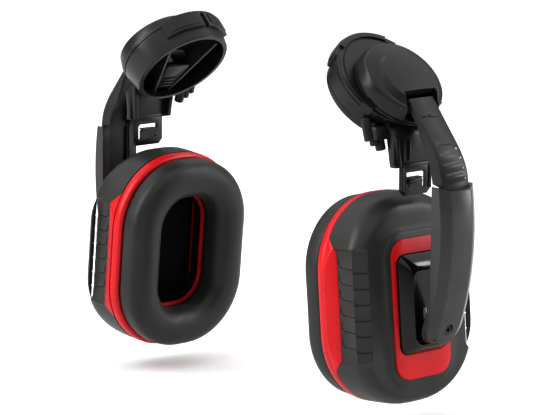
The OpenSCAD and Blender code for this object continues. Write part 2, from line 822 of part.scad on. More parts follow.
module cushion_foam() {
    color(foam) on_cup() around_cup() cushion_section(skin_t, cushion_t);
}

module cushion_skin() {
    color(satin) on_cup() around_cup() difference() {
        cushion_section(0, cushion_t);
        cushion_section(skin_t, cushion_t + 1);
    }
}

// ---------------------------------------------------------------- the pair

module piece(name) {
    if (name == "helmet_clip") helmet_clip();
    if (name == "clip_cover") clip_cover();
    if (name == "turret_base") turret_base();
    if (name == "turret_cap") turret_cap();
    if (name == "cap_screws") cap_screws();
    if (name == "hub_washer") hub_washer();
    if (name == "hub_screw") hub_screw();
    if (name == "detent_spring") detent_spring();
    if (name == "hinge_pin") hinge_pin();
    if (name == "inner_arm") inner_arm();
    if (name == "arm_spring") arm_spring();
    if (name == "outer_arm") outer_arm();
    if (name == "catch_spring") catch_spring();
    if (name == "pivot_carrier") pivot_carrier();
    if (name == "arm_screw") arm_screw();
    if (name == "tilt_pin") tilt_pin();
    if (name == "swivel_yoke") swivel_yoke();
    if (name == "swivel_pin") swivel_pin();
    if (name == "pivot_seat") pivot_seat();
    if (name == "seat_screws") seat_screws();
    if (name == "face_panel") face_panel();
    if (name == "cup_shell") cup_shell();
    if (name == "trim_ring") trim_ring();
    if (name == "foam_liner") foam_liner();
    if (name == "cushion_plate") cushion_plate();
    if (name == "cushion_foam") cushion_foam();
    if (name == "cushion_skin") cushion_skin();
}

for (side = SIDES, name = PIECES)
    rotate(side == "right" ? 0 : 180) piece(name);
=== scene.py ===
"""Looks of a pair of helmet-mounted earmuffs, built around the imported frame.

Every piece is modelled in millimetres in the frame of the sub-assembly it belongs to, and
is set down in metres in the shared frame. The left unit is the right one turned half a turn.
"""

import logging
import math
from collections.abc import Callable
from dataclasses import dataclass, field
from enum import Enum

import bmesh
import bpy
from mathutils import Matrix, Vector

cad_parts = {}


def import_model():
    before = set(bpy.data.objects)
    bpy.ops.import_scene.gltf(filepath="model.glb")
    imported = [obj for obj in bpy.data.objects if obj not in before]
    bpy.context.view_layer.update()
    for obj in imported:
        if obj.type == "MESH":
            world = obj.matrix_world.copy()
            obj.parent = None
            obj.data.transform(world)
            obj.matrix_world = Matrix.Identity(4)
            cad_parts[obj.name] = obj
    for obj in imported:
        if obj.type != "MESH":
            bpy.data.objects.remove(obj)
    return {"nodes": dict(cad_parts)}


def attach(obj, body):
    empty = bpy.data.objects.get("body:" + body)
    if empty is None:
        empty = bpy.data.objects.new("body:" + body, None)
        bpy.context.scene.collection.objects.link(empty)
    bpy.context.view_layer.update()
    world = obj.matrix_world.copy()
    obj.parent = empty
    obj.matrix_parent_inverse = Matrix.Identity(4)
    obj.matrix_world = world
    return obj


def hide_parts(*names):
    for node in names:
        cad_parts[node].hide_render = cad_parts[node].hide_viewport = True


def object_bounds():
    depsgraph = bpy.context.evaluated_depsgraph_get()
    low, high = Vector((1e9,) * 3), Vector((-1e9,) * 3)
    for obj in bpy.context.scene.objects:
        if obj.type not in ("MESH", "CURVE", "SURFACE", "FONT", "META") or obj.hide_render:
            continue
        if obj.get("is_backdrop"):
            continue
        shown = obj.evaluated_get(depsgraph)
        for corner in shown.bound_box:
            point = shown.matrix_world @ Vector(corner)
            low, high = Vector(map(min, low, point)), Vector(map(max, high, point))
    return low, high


MM = 0.001
TINY = 1e-4
COAT_ROUGHNESS = 0.12
SHEEN_ROUGHNESS = 0.45
SPECK_SHARE = 0.35
CLOUD_SHARE = 0.75
# Lightening of sharp edges: partly wear, partly a painted highlight along the edges.
WEAR_AND_HIGHLIGHT_GAIN = 2.2
WEAR_AND_HIGHLIGHT_LIFT = 0.03
log = logging.getLogger("earmuffs")
Loop = list[Vector]
BMesh = bmesh.types.BMesh
Socket = bpy.types.NodeSocket
Tree = bpy.types.NodeTree
IDENTITY = Matrix.Identity(4)


class Side(Enum):
    """The two units, each with the half turns that carry the right unit onto it."""

    RIGHT = "right"
    LEFT = "left"

    def turn(self) -> Matrix:
        """Returns the turn about Z that carries the right unit onto this one."""
        return Matrix.Rotation(math.pi if self is Side.LEFT else 0.0, 4, "Z")


class Grain(Enum):
    """Surface grain of a finish, as the kind of texture that drives its bump."""

    FINE = "fine"
    LEATHER = "leather"
    PORES = "pores"
    BRUSHED = "brushed"


# ------------------------------------------------------------------ finishes


@dataclass(frozen=True)
class Finish:
    """A moulded, sewn or metal finish and the procedural material that shows it.

    Sizes of the grain and of the cloudiness are in millimetres.
    """

    name: str
    colour: tuple[float, float, float]
    roughness: float
    grain: Grain = Grain.FINE
    grain_size: float = 0.35
    grain_height: float = 0.02
    cloud_size: float = 14.0
    colour_swing: float = 0.18
    rough_swing: float = 0.10
    # Strength of the lightened sharp edges: partly wear, partly a painted highlight.
    edge_wear_and_highlight: float = 0.0
    metallic: float = 0.0
    coat: float = 0.0
    sheen: float = 0.0
    specular: float = 0.28

    def material(self) -> bpy.types.Material:
        """Makes this finish's material, which is made the first time.

        Returns:
            The material.
        """
        title = f"finish_{self.name}"
        made = bpy.data.materials.get(title)
        if made is not None:
            return made
        made = bpy.data.materials.new(title)
        made.use_nodes = True
        tree = made.node_tree
        shader = tree.nodes["Principled BSDF"]
        shader.inputs["Metallic"].default_value = self.metallic
        shader.inputs["Coat Weight"].default_value = self.coat
        shader.inputs["Coat Roughness"].default_value = COAT_ROUGHNESS
        shader.inputs["Sheen Weight"].default_value = self.sheen
        shader.inputs["Sheen Roughness"].default_value = SHEEN_ROUGHNESS
        shader.inputs["Specular IOR Level"].default_value = self.specular
        where = tree.nodes.new("ShaderNodeTexCoord").outputs["Object"]
        cloud = self._noise(tree, where, self.cloud_size, 4.0)
        speck = self._noise(tree, where, self.grain_size * 3, 2.0)
        self._link_colour(tree, shader, cloud, speck)
        self._link_roughness(tree, shader, cloud)
        self._link_bump(tree, shader, where)
        return made

    @staticmethod
    def _noise(tree: Tree, where: Socket, size: float, detail: float) -> Socket:
        """Adds noise whose blotches are about size millimetres across and returns its output.

        Args:
            tree: The material's node tree.
            where: Coordinates that the pattern follows.
            size: Size of a blotch, in millimetres.
            detail: Octaves of detail.

        Returns:
            The output socket.
        """
        node = tree.nodes.new("ShaderNodeTexNoise")
        node.inputs["Scale"].default_value = 1 / (size * MM)
        node.inputs["Detail"].default_value = detail
        tree.links.new(where, node.inputs["Vector"])
        return node.outputs["Fac"]

    @staticmethod
    def _range(tree: Tree, source: Socket, low: float, high: float) -> Socket:
        """Maps the middle of a noise onto low to high and returns the result.

        Args:
            tree: The material's node tree.
            source: The noise.
            low: Value at its darkest.
            high: Value at its brightest.

        Returns:
            The output socket.
        """
        node = tree.nodes.new("ShaderNodeMapRange")
        node.inputs["From Min"].default_value = 0.3
        node.inputs["From Max"].default_value = 0.7
        node.inputs["To Min"].default_value = low
        node.inputs["To Max"].default_value = high
        tree.links.new(source, node.inputs["Value"])
        return node.outputs["Result"]

    def _link_colour(self, tree: Tree, shader: bpy.types.Node, cloud: Socket, speck: Socket) -> None:
        """Drives the base colour by slow cloudiness, fine specks and lightened edges, which are partly
        wear and partly a painted highlight.

        Args:
            tree: The material's node tree.
            shader: The shader node.
            cloud: Slow noise.
            speck: Fine noise.
        """
        dark = tuple(c * (1 - self.colour_swing) for c in self.colour) + (1.0,)
        light = tuple(min(1.0, c * (1 + self.colour_swing)) for c in self.colour) + (1.0,)
        mix = tree.nodes.new("ShaderNodeMix")
        mix.data_type = "RGBA"
        mix.inputs["A"].default_value = dark
        mix.inputs["B"].default_value = light
        both = tree.nodes.new("ShaderNodeMath")
        both.operation = "MULTIPLY_ADD"
        both.inputs[1].default_value = SPECK_SHARE
        tree.links.new(speck, both.inputs[0])
        tree.links.new(self._range(tree, cloud, 0.0, CLOUD_SHARE), both.inputs[2])
        tree.links.new(both.outputs[0], mix.inputs["Factor"])
        result = mix.outputs["Result"]
        # Sharp edges are lightened in colour: partly wear, partly a painted highlight along the edges.
        if self.edge_wear_and_highlight > 0:
            edge = tree.nodes.new("ShaderNodeMapRange")
            edge.inputs["From Min"].default_value = 0.52
            edge.inputs["From Max"].default_value = 0.62
            edge.inputs["To Max"].default_value = self.edge_wear_and_highlight
            tree.links.new(
                tree.nodes.new("ShaderNodeNewGeometry").outputs["Pointiness"], edge.inputs["Value"]
            )
            worn_and_lit = tree.nodes.new("ShaderNodeMix")
            worn_and_lit.data_type = "RGBA"
            worn_and_lit.inputs["B"].default_value = tuple(
                min(1.0, c * WEAR_AND_HIGHLIGHT_GAIN + WEAR_AND_HIGHLIGHT_LIFT)
                for c in self.colour
            ) + (1.0,)
            tree.links.new(edge.outputs["Result"], worn_and_lit.inputs["Factor"])
            tree.links.new(result, worn_and_lit.inputs["A"])
            result = worn_and_lit.outputs["Result"]
        tree.links.new(result, shader.inputs["Base Color"])

    def _link_roughness(self, tree: Tree, shader: bpy.types.Node, cloud: Socket) -> None:
        """Drives the roughness by the same cloudiness, so that the sheen breaks up softly."""
        low, high = self.roughness - self.rough_swing / 2, self.roughness + self.rough_swing / 2
        tree.links.new(self._range(tree, cloud, low, high), shader.inputs["Roughness"])

    def _link_bump(self, tree: Tree, shader: bpy.types.Node, where: Socket) -> None:
        """Drives the bump by the finish's grain.

        Args:
            tree: The material's node tree.
            shader: The shader node.
            where: Coordinates that the pattern follows.
        """
        if self.grain in (Grain.LEATHER, Grain.PORES):
            node = tree.nodes.new("ShaderNodeTexVoronoi")
            node.feature = "DISTANCE_TO_EDGE" if self.grain is Grain.LEATHER else "F1"
            node.inputs["Scale"].default_value = 1 / (self.grain_size * MM)
            tree.links.new(where, node.inputs["Vector"])
            height = node.outputs["Distance"]
        elif self.grain is Grain.BRUSHED:
            stretch = tree.nodes.new("ShaderNodeMapping")
            stretch.inputs["Scale"].default_value = (1.0, 0.08, 1.0)
            tree.links.new(where, stretch.inputs["Vector"])
            height = self._noise(tree, stretch.outputs["Vector"], self.grain_size, 3.0)
        else:
            height = self._noise(tree, where, self.grain_size, 3.0)
        bump = tree.nodes.new("ShaderNodeBump")
        bump.inputs["Strength"].default_value = 1.0
        bump.inputs["Distance"].default_value = self.grain_height * MM
        tree.links.new(height, bump.inputs["Height"])
        tree.links.new(bump.outputs["Normal"], shader.inputs["Normal"])


SHELL_GREY = Finish(
    "shell_grey", (0.032, 0.0315, 0.0305), 0.36, grain_height=0.03, edge_wear_and_highlight=0.2, specular=0.3
)
BLACK_PLASTIC = Finish(
    "black_plastic", (0.010, 0.010, 0.0098), 0.30, grain_height=0.02, edge_wear_and_highlight=0.2, specular=0.35
)
SATIN_BLACK = Finish(
    "satin_black", (0.016, 0.016, 0.0157), 0.33, grain_height=0.02, edge_wear_and_highlight=0.2, specular=0.32
)
SLEEVE_GLOSS = Finish(
    "gloss_grey_black", (0.036, 0.0357, 0.0350), 0.22, grain_height=0.006, edge_wear_and_highlight=0.06, specular=0.4
)
SEAT_GLOSS = Finish(
    "gloss_black", (0.005, 0.005, 0.005), 0.15, grain_height=0.006, edge_wear_and_highlight=0.15, coat=0.25
)
RED_PLASTIC = Finish("red_plastic", (0.48, 0.012, 0.017), 0.30, grain_height=0.02, colour_swing=0.08)
# Pale colour of the dots in the arm's dimples: a painted highlight of the dimples' glints.
DIMPLE_GLINT = Finish("painted_dimple_glint", (0.52, 0.52, 0.51), 0.4, grain_height=0.01)
CUSHION = Finish(
    "cushion_vinyl", (0.026, 0.0257, 0.0250), 0.42, Grain.LEATHER, 0.7, 0.02, sheen=0.06, specular=0.3
)
FOAM = Finish("foam", (0.010, 0.010, 0.0105), 0.95, Grain.PORES, 0.6, 0.35, specular=0.15)
STEEL = Finish("spring_steel", (0.45, 0.46, 0.47), 0.30, Grain.BRUSHED, 0.25, 0.01, metallic=1.0)


# ------------------------------------------------------------------ mesh helpers


def rounded_loop(
    w: float, h: float, r: float, up: float = 0.0, steps: int = 8, straight: int = 1
) -> Loop:
    """Points of a rounded rectangle in the Y-Z plane, anticlockwise from its +Y side.

    Args:
        w: Width along Y.
        h: Height along Z.
        r: Corner radius.
        up: Height of its middle.
        steps: Chords in each corner.
        straight: Chords along each straight side.

    Returns:
        The loop's points, the same number for any w, h and r.
    """
    points: Loop = []
    for quarter in range(4):
        sign_y = 1 if quarter in (0, 3) else -1
        sign_z = 1 if quarter < 2 else -1
        middle = Vector((0, sign_y * (w / 2 - r), up + sign_z * (h / 2 - r)))
        for step in range(steps + 1):
            angle = math.radians(90 * quarter + 90 * step / steps)
            points.append(middle + r * Vector((0, math.cos(angle), math.sin(angle))))
        following = (quarter + 1) % 4
        next_y = 1 if following in (0, 3) else -1
        next_z = 1 if following < 2 else -1
        start = math.radians(90 * (quarter + 1))
        corner = Vector((0, next_y * (w / 2 - r), up + next_z * (h / 2 - r)))
        target = corner + r * Vector((0, math.cos(start), math.sin(start)))
        last = points[-1]
        for step in range(1, straight):
            points.append(last.lerp(target, step / straight))
    return points


def put_in_scene(name: str, data: bpy.types.ID) -> bpy.types.Object:
    """Makes a new object of some data, linked to the scene.

    Args:
        name: The piece's name.
        data: What the object holds.

    Returns:
        The object.
    """
    obj = bpy.data.objects.new(name, data)
    bpy.context.scene.collection.objects.link(obj)
    return obj


def mesh_of(bm: BMesh, name: str) -> bpy.types.Mesh:
    """Makes a new datablock that holds a mesh.

    Args:
        bm: Mesh to work on.
        name: The piece's name.

    Returns:
        The datablock.
    """
    mesh = bpy.data.meshes.new(name)
    bm.to_mesh(mesh)
    return mesh


def discard(obj: bpy.types.Object) -> None:
    """Removes a scratch object with its mesh.

    Args:
        obj: The object.
    """
    mesh = obj.data
    bpy.data.objects.remove(obj)
    bpy.data.meshes.remove(mesh)


def take_shape(obj: bpy.types.Object, bm: BMesh) -> None:
    """Adds an object's mesh to bm, as its modifiers leave it.

    Args:
        obj: The object.
        bm: Mesh to add to.
    """
    bpy.context.view_layer.update()
    evaluated = obj.evaluated_get(bpy.context.evaluated_depsgraph_get())
    bm.from_mesh(evaluated.to_mesh())
    evaluated.to_mesh_clear()


def faces_out(bm: BMesh) -> None:
    """Turns every face outwards."""
    bmesh.ops.recalc_face_normals(bm, faces=bm.faces[:])


def leaned(degrees: float) -> Matrix:
    """Returns the turn about Y that leans the X axis up by an angle."""
    return Matrix.Rotation(math.radians(-degrees), 4, "Y")


def toward(azimuth: float, elevation: float) -> Vector:
    """Returns the direction from the pair to a viewer at two angles in degrees."""
    a, e = math.radians(azimuth), math.radians(elevation)
    return Vector((math.sin(a) * math.cos(e), -math.cos(a) * math.cos(e), math.sin(e)))


def facing(direction: Vector) -> Matrix:
    """Returns the turn that points a camera or light back along a direction."""
    return (-direction).to_track_quat("-Z", "Y").to_matrix().to_4x4()


def at_x(loop: Loop, x: float) -> Loop:
    """Returns the loop moved to a distance x along the frame's X axis."""
    return [Vector((x, p.y, p.z)) for p in loop]


def loft(bm: BMesh, rings: list[Loop], closed: bool = False, caps: bool = True) -> None:
    """Extrudes a closed loop through a list of rings with the same number of points.

    Args:
        bm: Mesh to add to.
        rings: The loops, in order.
        closed: Joins the last ring back to the first, as on a torus.
        caps: Fills the first and last rings, unless closed.
    """
    verts = [bm.verts.new(p) for p in rings[0]]
    edges = [bm.edges.new((verts[i], verts[(i + 1) % len(verts)])) for i in range(len(verts))]
    first_verts, first_edges = verts, edges
    for ring in rings[1:]:
        made = bmesh.ops.extrude_edge_only(bm, edges=edges)["geom"]
        new_edges = [g for g in made if isinstance(g, bmesh.types.BMEdge)]
        fresh = {g for g in made if isinstance(g, bmesh.types.BMVert)}
        following = []
        for v in verts:
            following.append(next(e.other_vert(v) for e in v.link_edges if e.other_vert(v) in fresh))
        for v, p in zip(following, ring):
            v.co = p
        verts = following
        edges = [e for e in new_edges if e.verts[0] in fresh and e.verts[1] in fresh]
    if closed:
        bmesh.ops.bridge_loops(bm, edges=first_edges + edges)
    elif caps:
        bm.faces.new(list(reversed(first_verts)))
        bm.faces.new(verts)
    faces_out(bm)


def block(
    x: tuple[float, float], y: tuple[float, float], z: tuple[float, float], place: Matrix | None = None
) -> BMesh:
    """Makes a box between three pairs of limits, moved by place.

    Args:
        x: Limits along X.
        y: Limits along Y.
        z: Limits along Z.
        place: Where it is moved to, or None.

    Returns:
        The solid, as a closed mesh.
    """
    bm = bmesh.new()
    bmesh.ops.create_cube(bm, size=1.0)
    size = Vector((x[1] - x[0], y[1] - y[0], z[1] - z[0]))
    middle = Vector((sum(x) / 2, sum(y) / 2, sum(z) / 2))
    bmesh.ops.scale(bm, vec=size, verts=bm.verts[:])
    bmesh.ops.translate(bm, vec=middle, verts=bm.verts[:])
    if place is not None:
        bmesh.ops.transform(bm, matrix=place, verts=bm.verts[:])
    return bm


def rod(radius: float, start: Vector, end: Vector, tip: float | None = None, segments: int = 48) -> BMesh:
    """Makes a round rod, or a cone where tip gives the far end's radius.

    Args:
        radius: Radius at the start.
        start: Where it starts.
        end: Where it ends.
        tip: Radius at the end, or None for the start's.
        segments: Chords round it.

    Returns:
        The solid, as a closed mesh.
    """
    bm = bmesh.new()
    line = end - start
    turn = line.to_track_quat("Z", "Y").to_matrix().to_4x4()
    bmesh.ops.create_cone(
        bm, cap_ends=True, segments=segments, radius1=radius, radius2=radius if tip is None else tip,
        depth=line.length, matrix=Matrix.Translation((start + end) / 2) @ turn,
    )
    return bm


def hull(points: Loop) -> BMesh:
    """Makes the convex solid around a few points.

    Args:
        points: Corners of the solid.

    Returns:
        The solid, as a closed mesh.
    """
    bm = bmesh.new()
    for p in points:
        bm.verts.new(p)
    made = bmesh.ops.convex_hull(bm, input=bm.verts[:])
    spare = [
        g
        for g in made["geom_interior"] + made["geom_unused"]
        if isinstance(g, bmesh.types.BMVert) and g.is_valid
    ]
    bmesh.ops.delete(bm, geom=spare, context="VERTS")
    faces_out(bm)
    return bm


def prism(outline: Loop, along: Vector) -> BMesh:
    """Makes a flat outline extruded by a vector.

    Args:
        outline: Corners of the flat outline, in order.
        along: How far and where it is extruded.

    Returns:
        The solid, as a closed mesh.
    """
    bm = bmesh.new()
    face = bm.faces.new([bm.verts.new(p) for p in outline])
    made = bmesh.ops.extrude_face_region(bm, geom=[face])["geom"]
    bmesh.ops.translate(bm, vec=along, verts=[g for g in made if isinstance(g, bmesh.types.BMVert)])
    faces_out(bm)
    return bm


def lathe(profile: list[tuple[float, float]], steps: int = 96) -> BMesh:
    """Spins a closed profile of (distance along X, radius) about the X axis.

    Args:
        profile: Corners of the section, with every radius above zero or on the axis.
        steps: Chords in the turn.

    Returns:
        The solid of revolution.
    """
    bm = bmesh.new()
    verts = [bm.verts.new((x, 0, r)) for x, r in profile]
    edges = [bm.edges.new((verts[i], verts[(i + 1) % len(verts)])) for i in range(len(verts))]
    bmesh.ops.spin(bm, geom=verts + edges, cent=(0, 0, 0), axis=(1, 0, 0), dvec=(0, 0, 0),
                   angle=math.tau, steps=steps, use_merge=True, use_duplicate=False)
    bmesh.ops.remove_doubles(bm, verts=bm.verts[:], dist=TINY)
    faces_out(bm)
    return bm


def soften(bm: BMesh, width: float, segments: int = 2, angle: float = 28.0) -> None:
    """Bevels every edge that turns by more than an angle in degrees.

    Args:
        bm: Mesh to bevel; it is changed.
        width: Width of the bevel.
        segments: Chords across the bevel.
        angle: Least turn, in degrees, that counts as an edge.
    """
    limit = math.radians(angle)
    edges = [e for e in bm.edges if len(e.link_faces) == 2 and e.calc_face_angle(0.0) > limit]
    bmesh.ops.bevel(bm, geom=edges, offset=width, offset_type="OFFSET", affect="EDGES",
                    segments=segments, profile=0.5, material=-1, clamp_overlap=True)


def joined(parts: list[BMesh]) -> BMesh:
    """Makes one mesh that holds several, freeing them.

    Args:
        parts: Meshes to join.

    Returns:
        The solid, as a closed mesh.
    """
    whole = bmesh.new()
    for part in parts:
        mesh = mesh_of(part, "part")
        whole.from_mesh(mesh)
        bpy.data.meshes.remove(mesh)
        part.free()
    return whole


def carved(body: BMesh, tool: BMesh, operation: str = "DIFFERENCE") -> BMesh:
    """Cuts a tool out of a body, or joins it on, with an exact boolean.

    Args:
        body: Closed solid to work on.
        tool: Closed solid or solids.
        operation: DIFFERENCE, UNION or INTERSECT.

    Returns:
        The result as a new mesh; both inputs are freed.
    """
    made = []
    for name, source in (("body", body), ("tool", tool)):
        made.append(put_in_scene(name, mesh_of(source, name)))
        source.free()
    modifier = made[0].modifiers.new("carve", "BOOLEAN")
    modifier.operation = operation
    modifier.solver = "EXACT"
    modifier.use_self = True
    modifier.object = made[1]
    result = bmesh.new()
    take_shape(made[0], result)
    for obj in made:
        discard(obj)
    bmesh.ops.remove_doubles(result, verts=result.verts[:], dist=TINY)
    bmesh.ops.dissolve_degenerate(result, edges=result.edges[:], dist=TINY)
    return result


@dataclass(frozen=True)
class Inflation:
    """How the cloth solver blows a skin up.

    The skin is simulated several times its size, where the solver's steps suit its weight.
    No point is let move further than most, in millimetres.
    """

    enlarged: float = 10.0
    frames: int = 20
    quality: int = 5
    mass: float = 0.3
    stretch: float = 25.0
    bend: float = 1.5
    pressure: float = 4.0
    most: float = 1.3


def swell(bm: BMesh, held: Callable[[Vector], bool], air: Inflation) -> None:
    """Blows a closed skin up with a cloth simulation and keeps its result in the mesh.

    Args:
        bm: Closed mesh in millimetres; its points are moved.
        held: Tells whether the point at a place is sewn down and can't move.
        air: How it is blown up.
    """
    scale = air.enlarged * MM
    mesh = mesh_of(bm, "skin")
    mesh.transform(Matrix.Scale(scale, 4))
    obj = put_in_scene("skin", mesh)
    pinned = obj.vertex_groups.new(name="held")
    pinned.add([v.index for v in bm.verts if held(v.co)], 1.0, "REPLACE")
    cloth = obj.modifiers.new("cloth", "CLOTH")
    cloth.settings.quality = air.quality
    cloth.settings.mass = air.mass
    cloth.settings.tension_stiffness = air.stretch
    cloth.settings.compression_stiffness = air.stretch
    cloth.settings.bending_stiffness = air.bend
    cloth.settings.vertex_group_mass = pinned.name
    cloth.settings.use_pressure = True
    cloth.settings.uniform_pressure_force = air.pressure
    cloth.settings.effector_weights.gravity = 0.0
    cloth.point_cache.frame_start = 1
    cloth.point_cache.frame_end = air.frames
    scene = bpy.context.scene
    for frame_number in range(1, air.frames + 1):
        scene.frame_set(frame_number)
    blown = obj.evaluated_get(bpy.context.evaluated_depsgraph_get()).to_mesh()
    furthest = 0.0
    for vert, swollen in zip(bm.verts, blown.vertices):
        step = Vector(swollen.co) / scale - vert.co
        furthest = max(furthest, step.length)
        vert.co += step if step.length <= air.most else step.normalized() * air.most
    log.info("skin swelled by up to %.2f mm, kept to %.2f", furthest, air.most)
    scene.frame_set(1)
    discard(obj)


def smooth_once(bm: BMesh) -> None:
    """Splits every face in four with one round of subdivision surface.

    Args:
        bm: Mesh to split; it is changed.
    """
    obj = put_in_scene("coarse", mesh_of(bm, "coarse"))
    obj.modifiers.new("subdivision", "SUBSURF").levels = 1
    bm.clear()
    take_shape(obj, bm)
    discard(obj)


# ------------------------------------------------------------------ bench


@dataclass
class Bench:
    """Sets finished meshes of one unit down in the shared frame, on their CAD bodies."""

    side: Side

    def node(self, name: str) -> str:
        """Returns this unit's full name for a piece or body."""
        return f"{self.side.value}_{name}"

    def set_down(self, bm: BMesh, name: str, place: Matrix, body: str, finish: Finish,
                 slot: str, stands_for: tuple[str, ...] = (), sharp: float = 30.0) -> bpy.types.Object:
        """Makes an object of a mesh, in metres in the shared frame, riding on its body.

        Args:
            bm: Mesh in millimetres in the sub-assembly's own frame; it is freed.
            name: The piece's name without its side.
            place: The sub-assembly's frame, in millimetres, on the right unit.
            body: The CAD body it rides on, in full.
            finish: Its finish.
            slot: The record's material slot; not used.
            stands_for: CAD nodes that it replaces, without their side.
            sharp: Edges that turn by more than this many degrees stay sharp.

        Returns:
            The new object.
        """
        bmesh.ops.transform(bm, matrix=Matrix.Scale(MM, 4) @ self.side.turn() @ place, verts=bm.verts[:])
        for face in bm.faces:
            face.smooth = True
        mesh = mesh_of(bm, self.node(name))
        bm.free()
        mesh.set_sharp_from_angle(angle=math.radians(sharp))
        obj = put_in_scene(self.node(name), mesh)
        obj.data.materials.append(finish.material())
        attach(obj, body)
        if stands_for:
            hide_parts(*(self.node(n) for n in stands_for))
        log.info("%s: %d faces on %s", obj.name, len(mesh.polygons), body)
        return obj


# ------------------------------------------------------------------ ear cup


@dataclass
class EarCup:
    """The cup: shell, trim ring, cushion, face panel and pivot seat.

    Its frame has X outwards from the cushion's face and Z up the leaning cup.
    """

    bench: Bench
    face_x: float = 62.0
    middle_z: float = -70.3
    lean: float = 5.4
    height: float = 104.0
    width: float = 81.0
    corner_r: float = 37.0
    cushion_t: float = 14.5
    opening_r: float = 15.5
    lip_r: float = 7.0
    cushion_in: float = 1.5
    sewn: float = 3.5
    filling: float = 0.85
    trim_t: float = 5.8
    trim_lip: float = 0.7
    face_d: float = 44.0
    wall: float = 4.5
    crown_x: float = 30.0
    crown_steps: int = 12
    side_delay: float = 6.5
    panel_w: float = 37.2
    panel_h: float = 68.8
    panel_r: float = 9.0
    panel_t: float = 1.2
    panel_up: float = -4.0
    seat_w: float = 31.5
    seat_h: float = 48.5
    seat_up: float = -1.5
    seat_proud: float = 7.0
    pivot_up: float = -13.2
    pocket_w: float = 13.2
    pocket_h: float = 10.0
    pocket_d: float = 3.4
    swivel_x: float = 46.6
    grip_half: float = 27.0
    grip_pitch: float = 7.7
    grip_count: int = 6
    groove_gap: float = 7.8
    groove_w: float = 0.6
    step_gap: float = 3.2
    slope_end: tuple[float, float] = (26.3, 37.3)
    ridge: tuple[float, float] = (37.0, 37.1)
    grip_end: tuple[float, float] = (43.4, 31.2)

    @property
    def place(self) -> Matrix:
        """The cup's frame, in millimetres."""
        return Matrix.Translation((self.face_x, 0, self.middle_z)) @ leaned(self.lean)

    @property
    def body(self) -> str:
        """The CAD body that the cup's pieces ride on."""
        return self.bench.node("cup")

    @property
    def shell_x(self) -> float:
        """Where the shell starts, behind the trim ring."""
        return self.cushion_t + self.trim_t

    def outline(self, inset: float, x: float = 0.0, steps: int = 14, straight: int = 8) -> Loop:
        """Works out the cup's outline drawn in by a distance, at a station x.

        Args:
            inset: How far the outline is drawn in.
            x: Where the outline lies.
            steps: Chords in each corner.
            straight: Chords along each straight side.

        Returns:
            The loop's points.
        """
        loop = rounded_loop(self.width - 2 * inset, self.height - 2 * inset, self.corner_r - inset,
                            steps=steps, straight=straight)
        return at_x(loop, x)

    def plateau(self, grow: float, x: float) -> Loop:
        """Works out the raised flat's outline, standing a distance outside the face panel.

        Args:
            grow: How far it stands outside.
            x: Where the outline lies.

        Returns:
            The loop's points.
        """
        loop = rounded_loop(
            self.panel_w + 2 * grow, self.panel_h + 2 * grow, self.panel_r + grow, self.panel_up,
            steps=14, straight=8
        )
        return at_x(loop, x)

    def shell_rings(self) -> list[Loop]:
        """Works out the shell's sections, from its rim to the middle of its face.

        The sides stay full for longer than the top and bottom do before they round over.

        Returns:
            The sections, in order.
        """
        outer = self.outline(0)
        foot = self.plateau(4.8, 0)
        top = self.face_d - 1.5
        sideways = [max(0.0, abs(p.y) / (self.width / 2) - 0.45) / 0.55 for p in outer]
        start = [self.crown_x + self.side_delay * s * s for s in sideways]
        rings = [at_x(outer, x) for x in (self.shell_x, self.shell_x + 0.8, 25.0, 28.0)]
        for step in range(self.crown_steps + 1):
            angle = math.radians(90 * step / self.crown_steps)
            ring = []
            for p, q, x0, s in zip(outer, foot, start, sideways):
                share = (0.62 - 0.22 * s) * (1 - math.cos(angle))
                ring.append(Vector((x0 + (top - x0) * math.sin(angle), *p.lerp(q, share).yz)))
            rings.append(ring)
        brow = rings[-1]
        for share in (0.4, 0.7):
            rings.append([Vector((top + 0.3 * share, *p.lerp(q, share).yz)) for p, q in zip(brow, foot)])
        rings.append(at_x(foot, top + 0.3))
        rings.append(self.plateau(4.0, top + 0.55))
        rings.append(self.plateau(3.2, self.face_d - 0.2))
        rings.append(self.plateau(2.7, self.face_d))
        rings.append(self.plateau(-3.0, self.face_d))
        return rings

    @staticmethod
    def grip_flat(
        a: Vector, b: Vector, sign: int, reach: tuple[float, float], halves: tuple[float, float],
        lean: float
    ) -> BMesh:
        """Returns the tool that cuts one flat of a grip, with sloping ends.

        Args:
            a: Start of the flat's line in the X-Y plane.
            b: End of that line.
            sign: -1 or 1, the side of the cup.
            reach: How far the tool goes on before the start and past the end.
            halves: Half the flat's height at those two ends.
            lean: How much taller the tool grows for each millimetre outwards.

        Returns:
            A convex solid outside the flat.
        """
        line = (b - a).normalized()
        normal = Vector((line.y * -sign, line.x * sign, 0))
        if normal.y * sign < 0:
            normal = -normal
        far = 12.0
        rows = []
        for point, half in ((a - line * reach[0], halves[0]), (b + line * reach[1], halves[1])):
            for end in (-1, 1):
                rows += [
                    point + Vector((0, 0, end * half)),
                    point + normal * far + Vector((0, 0, end * (half + lean * far)))
                ]
        return hull(rows)

    def grip_points(self, sign: int) -> tuple[Vector, Vector, Vector, Vector]:
        """Works out the corners of a grip's section: rim, end of slope, ridge and end of steps.

        Args:
            sign: -1 or 1, the side of the cup.

        Returns:
            The four corners, in that order.
        """
        overlap = 0.1
        return (Vector((self.shell_x - 2 * overlap, sign * (self.width / 2 + overlap), 0)),
                Vector((self.slope_end[0], sign * self.slope_end[1], 0)),
                Vector((self.ridge[0], sign * self.ridge[1], 0)),
                Vector((self.grip_end[0], sign * self.grip_end[1], 0)))

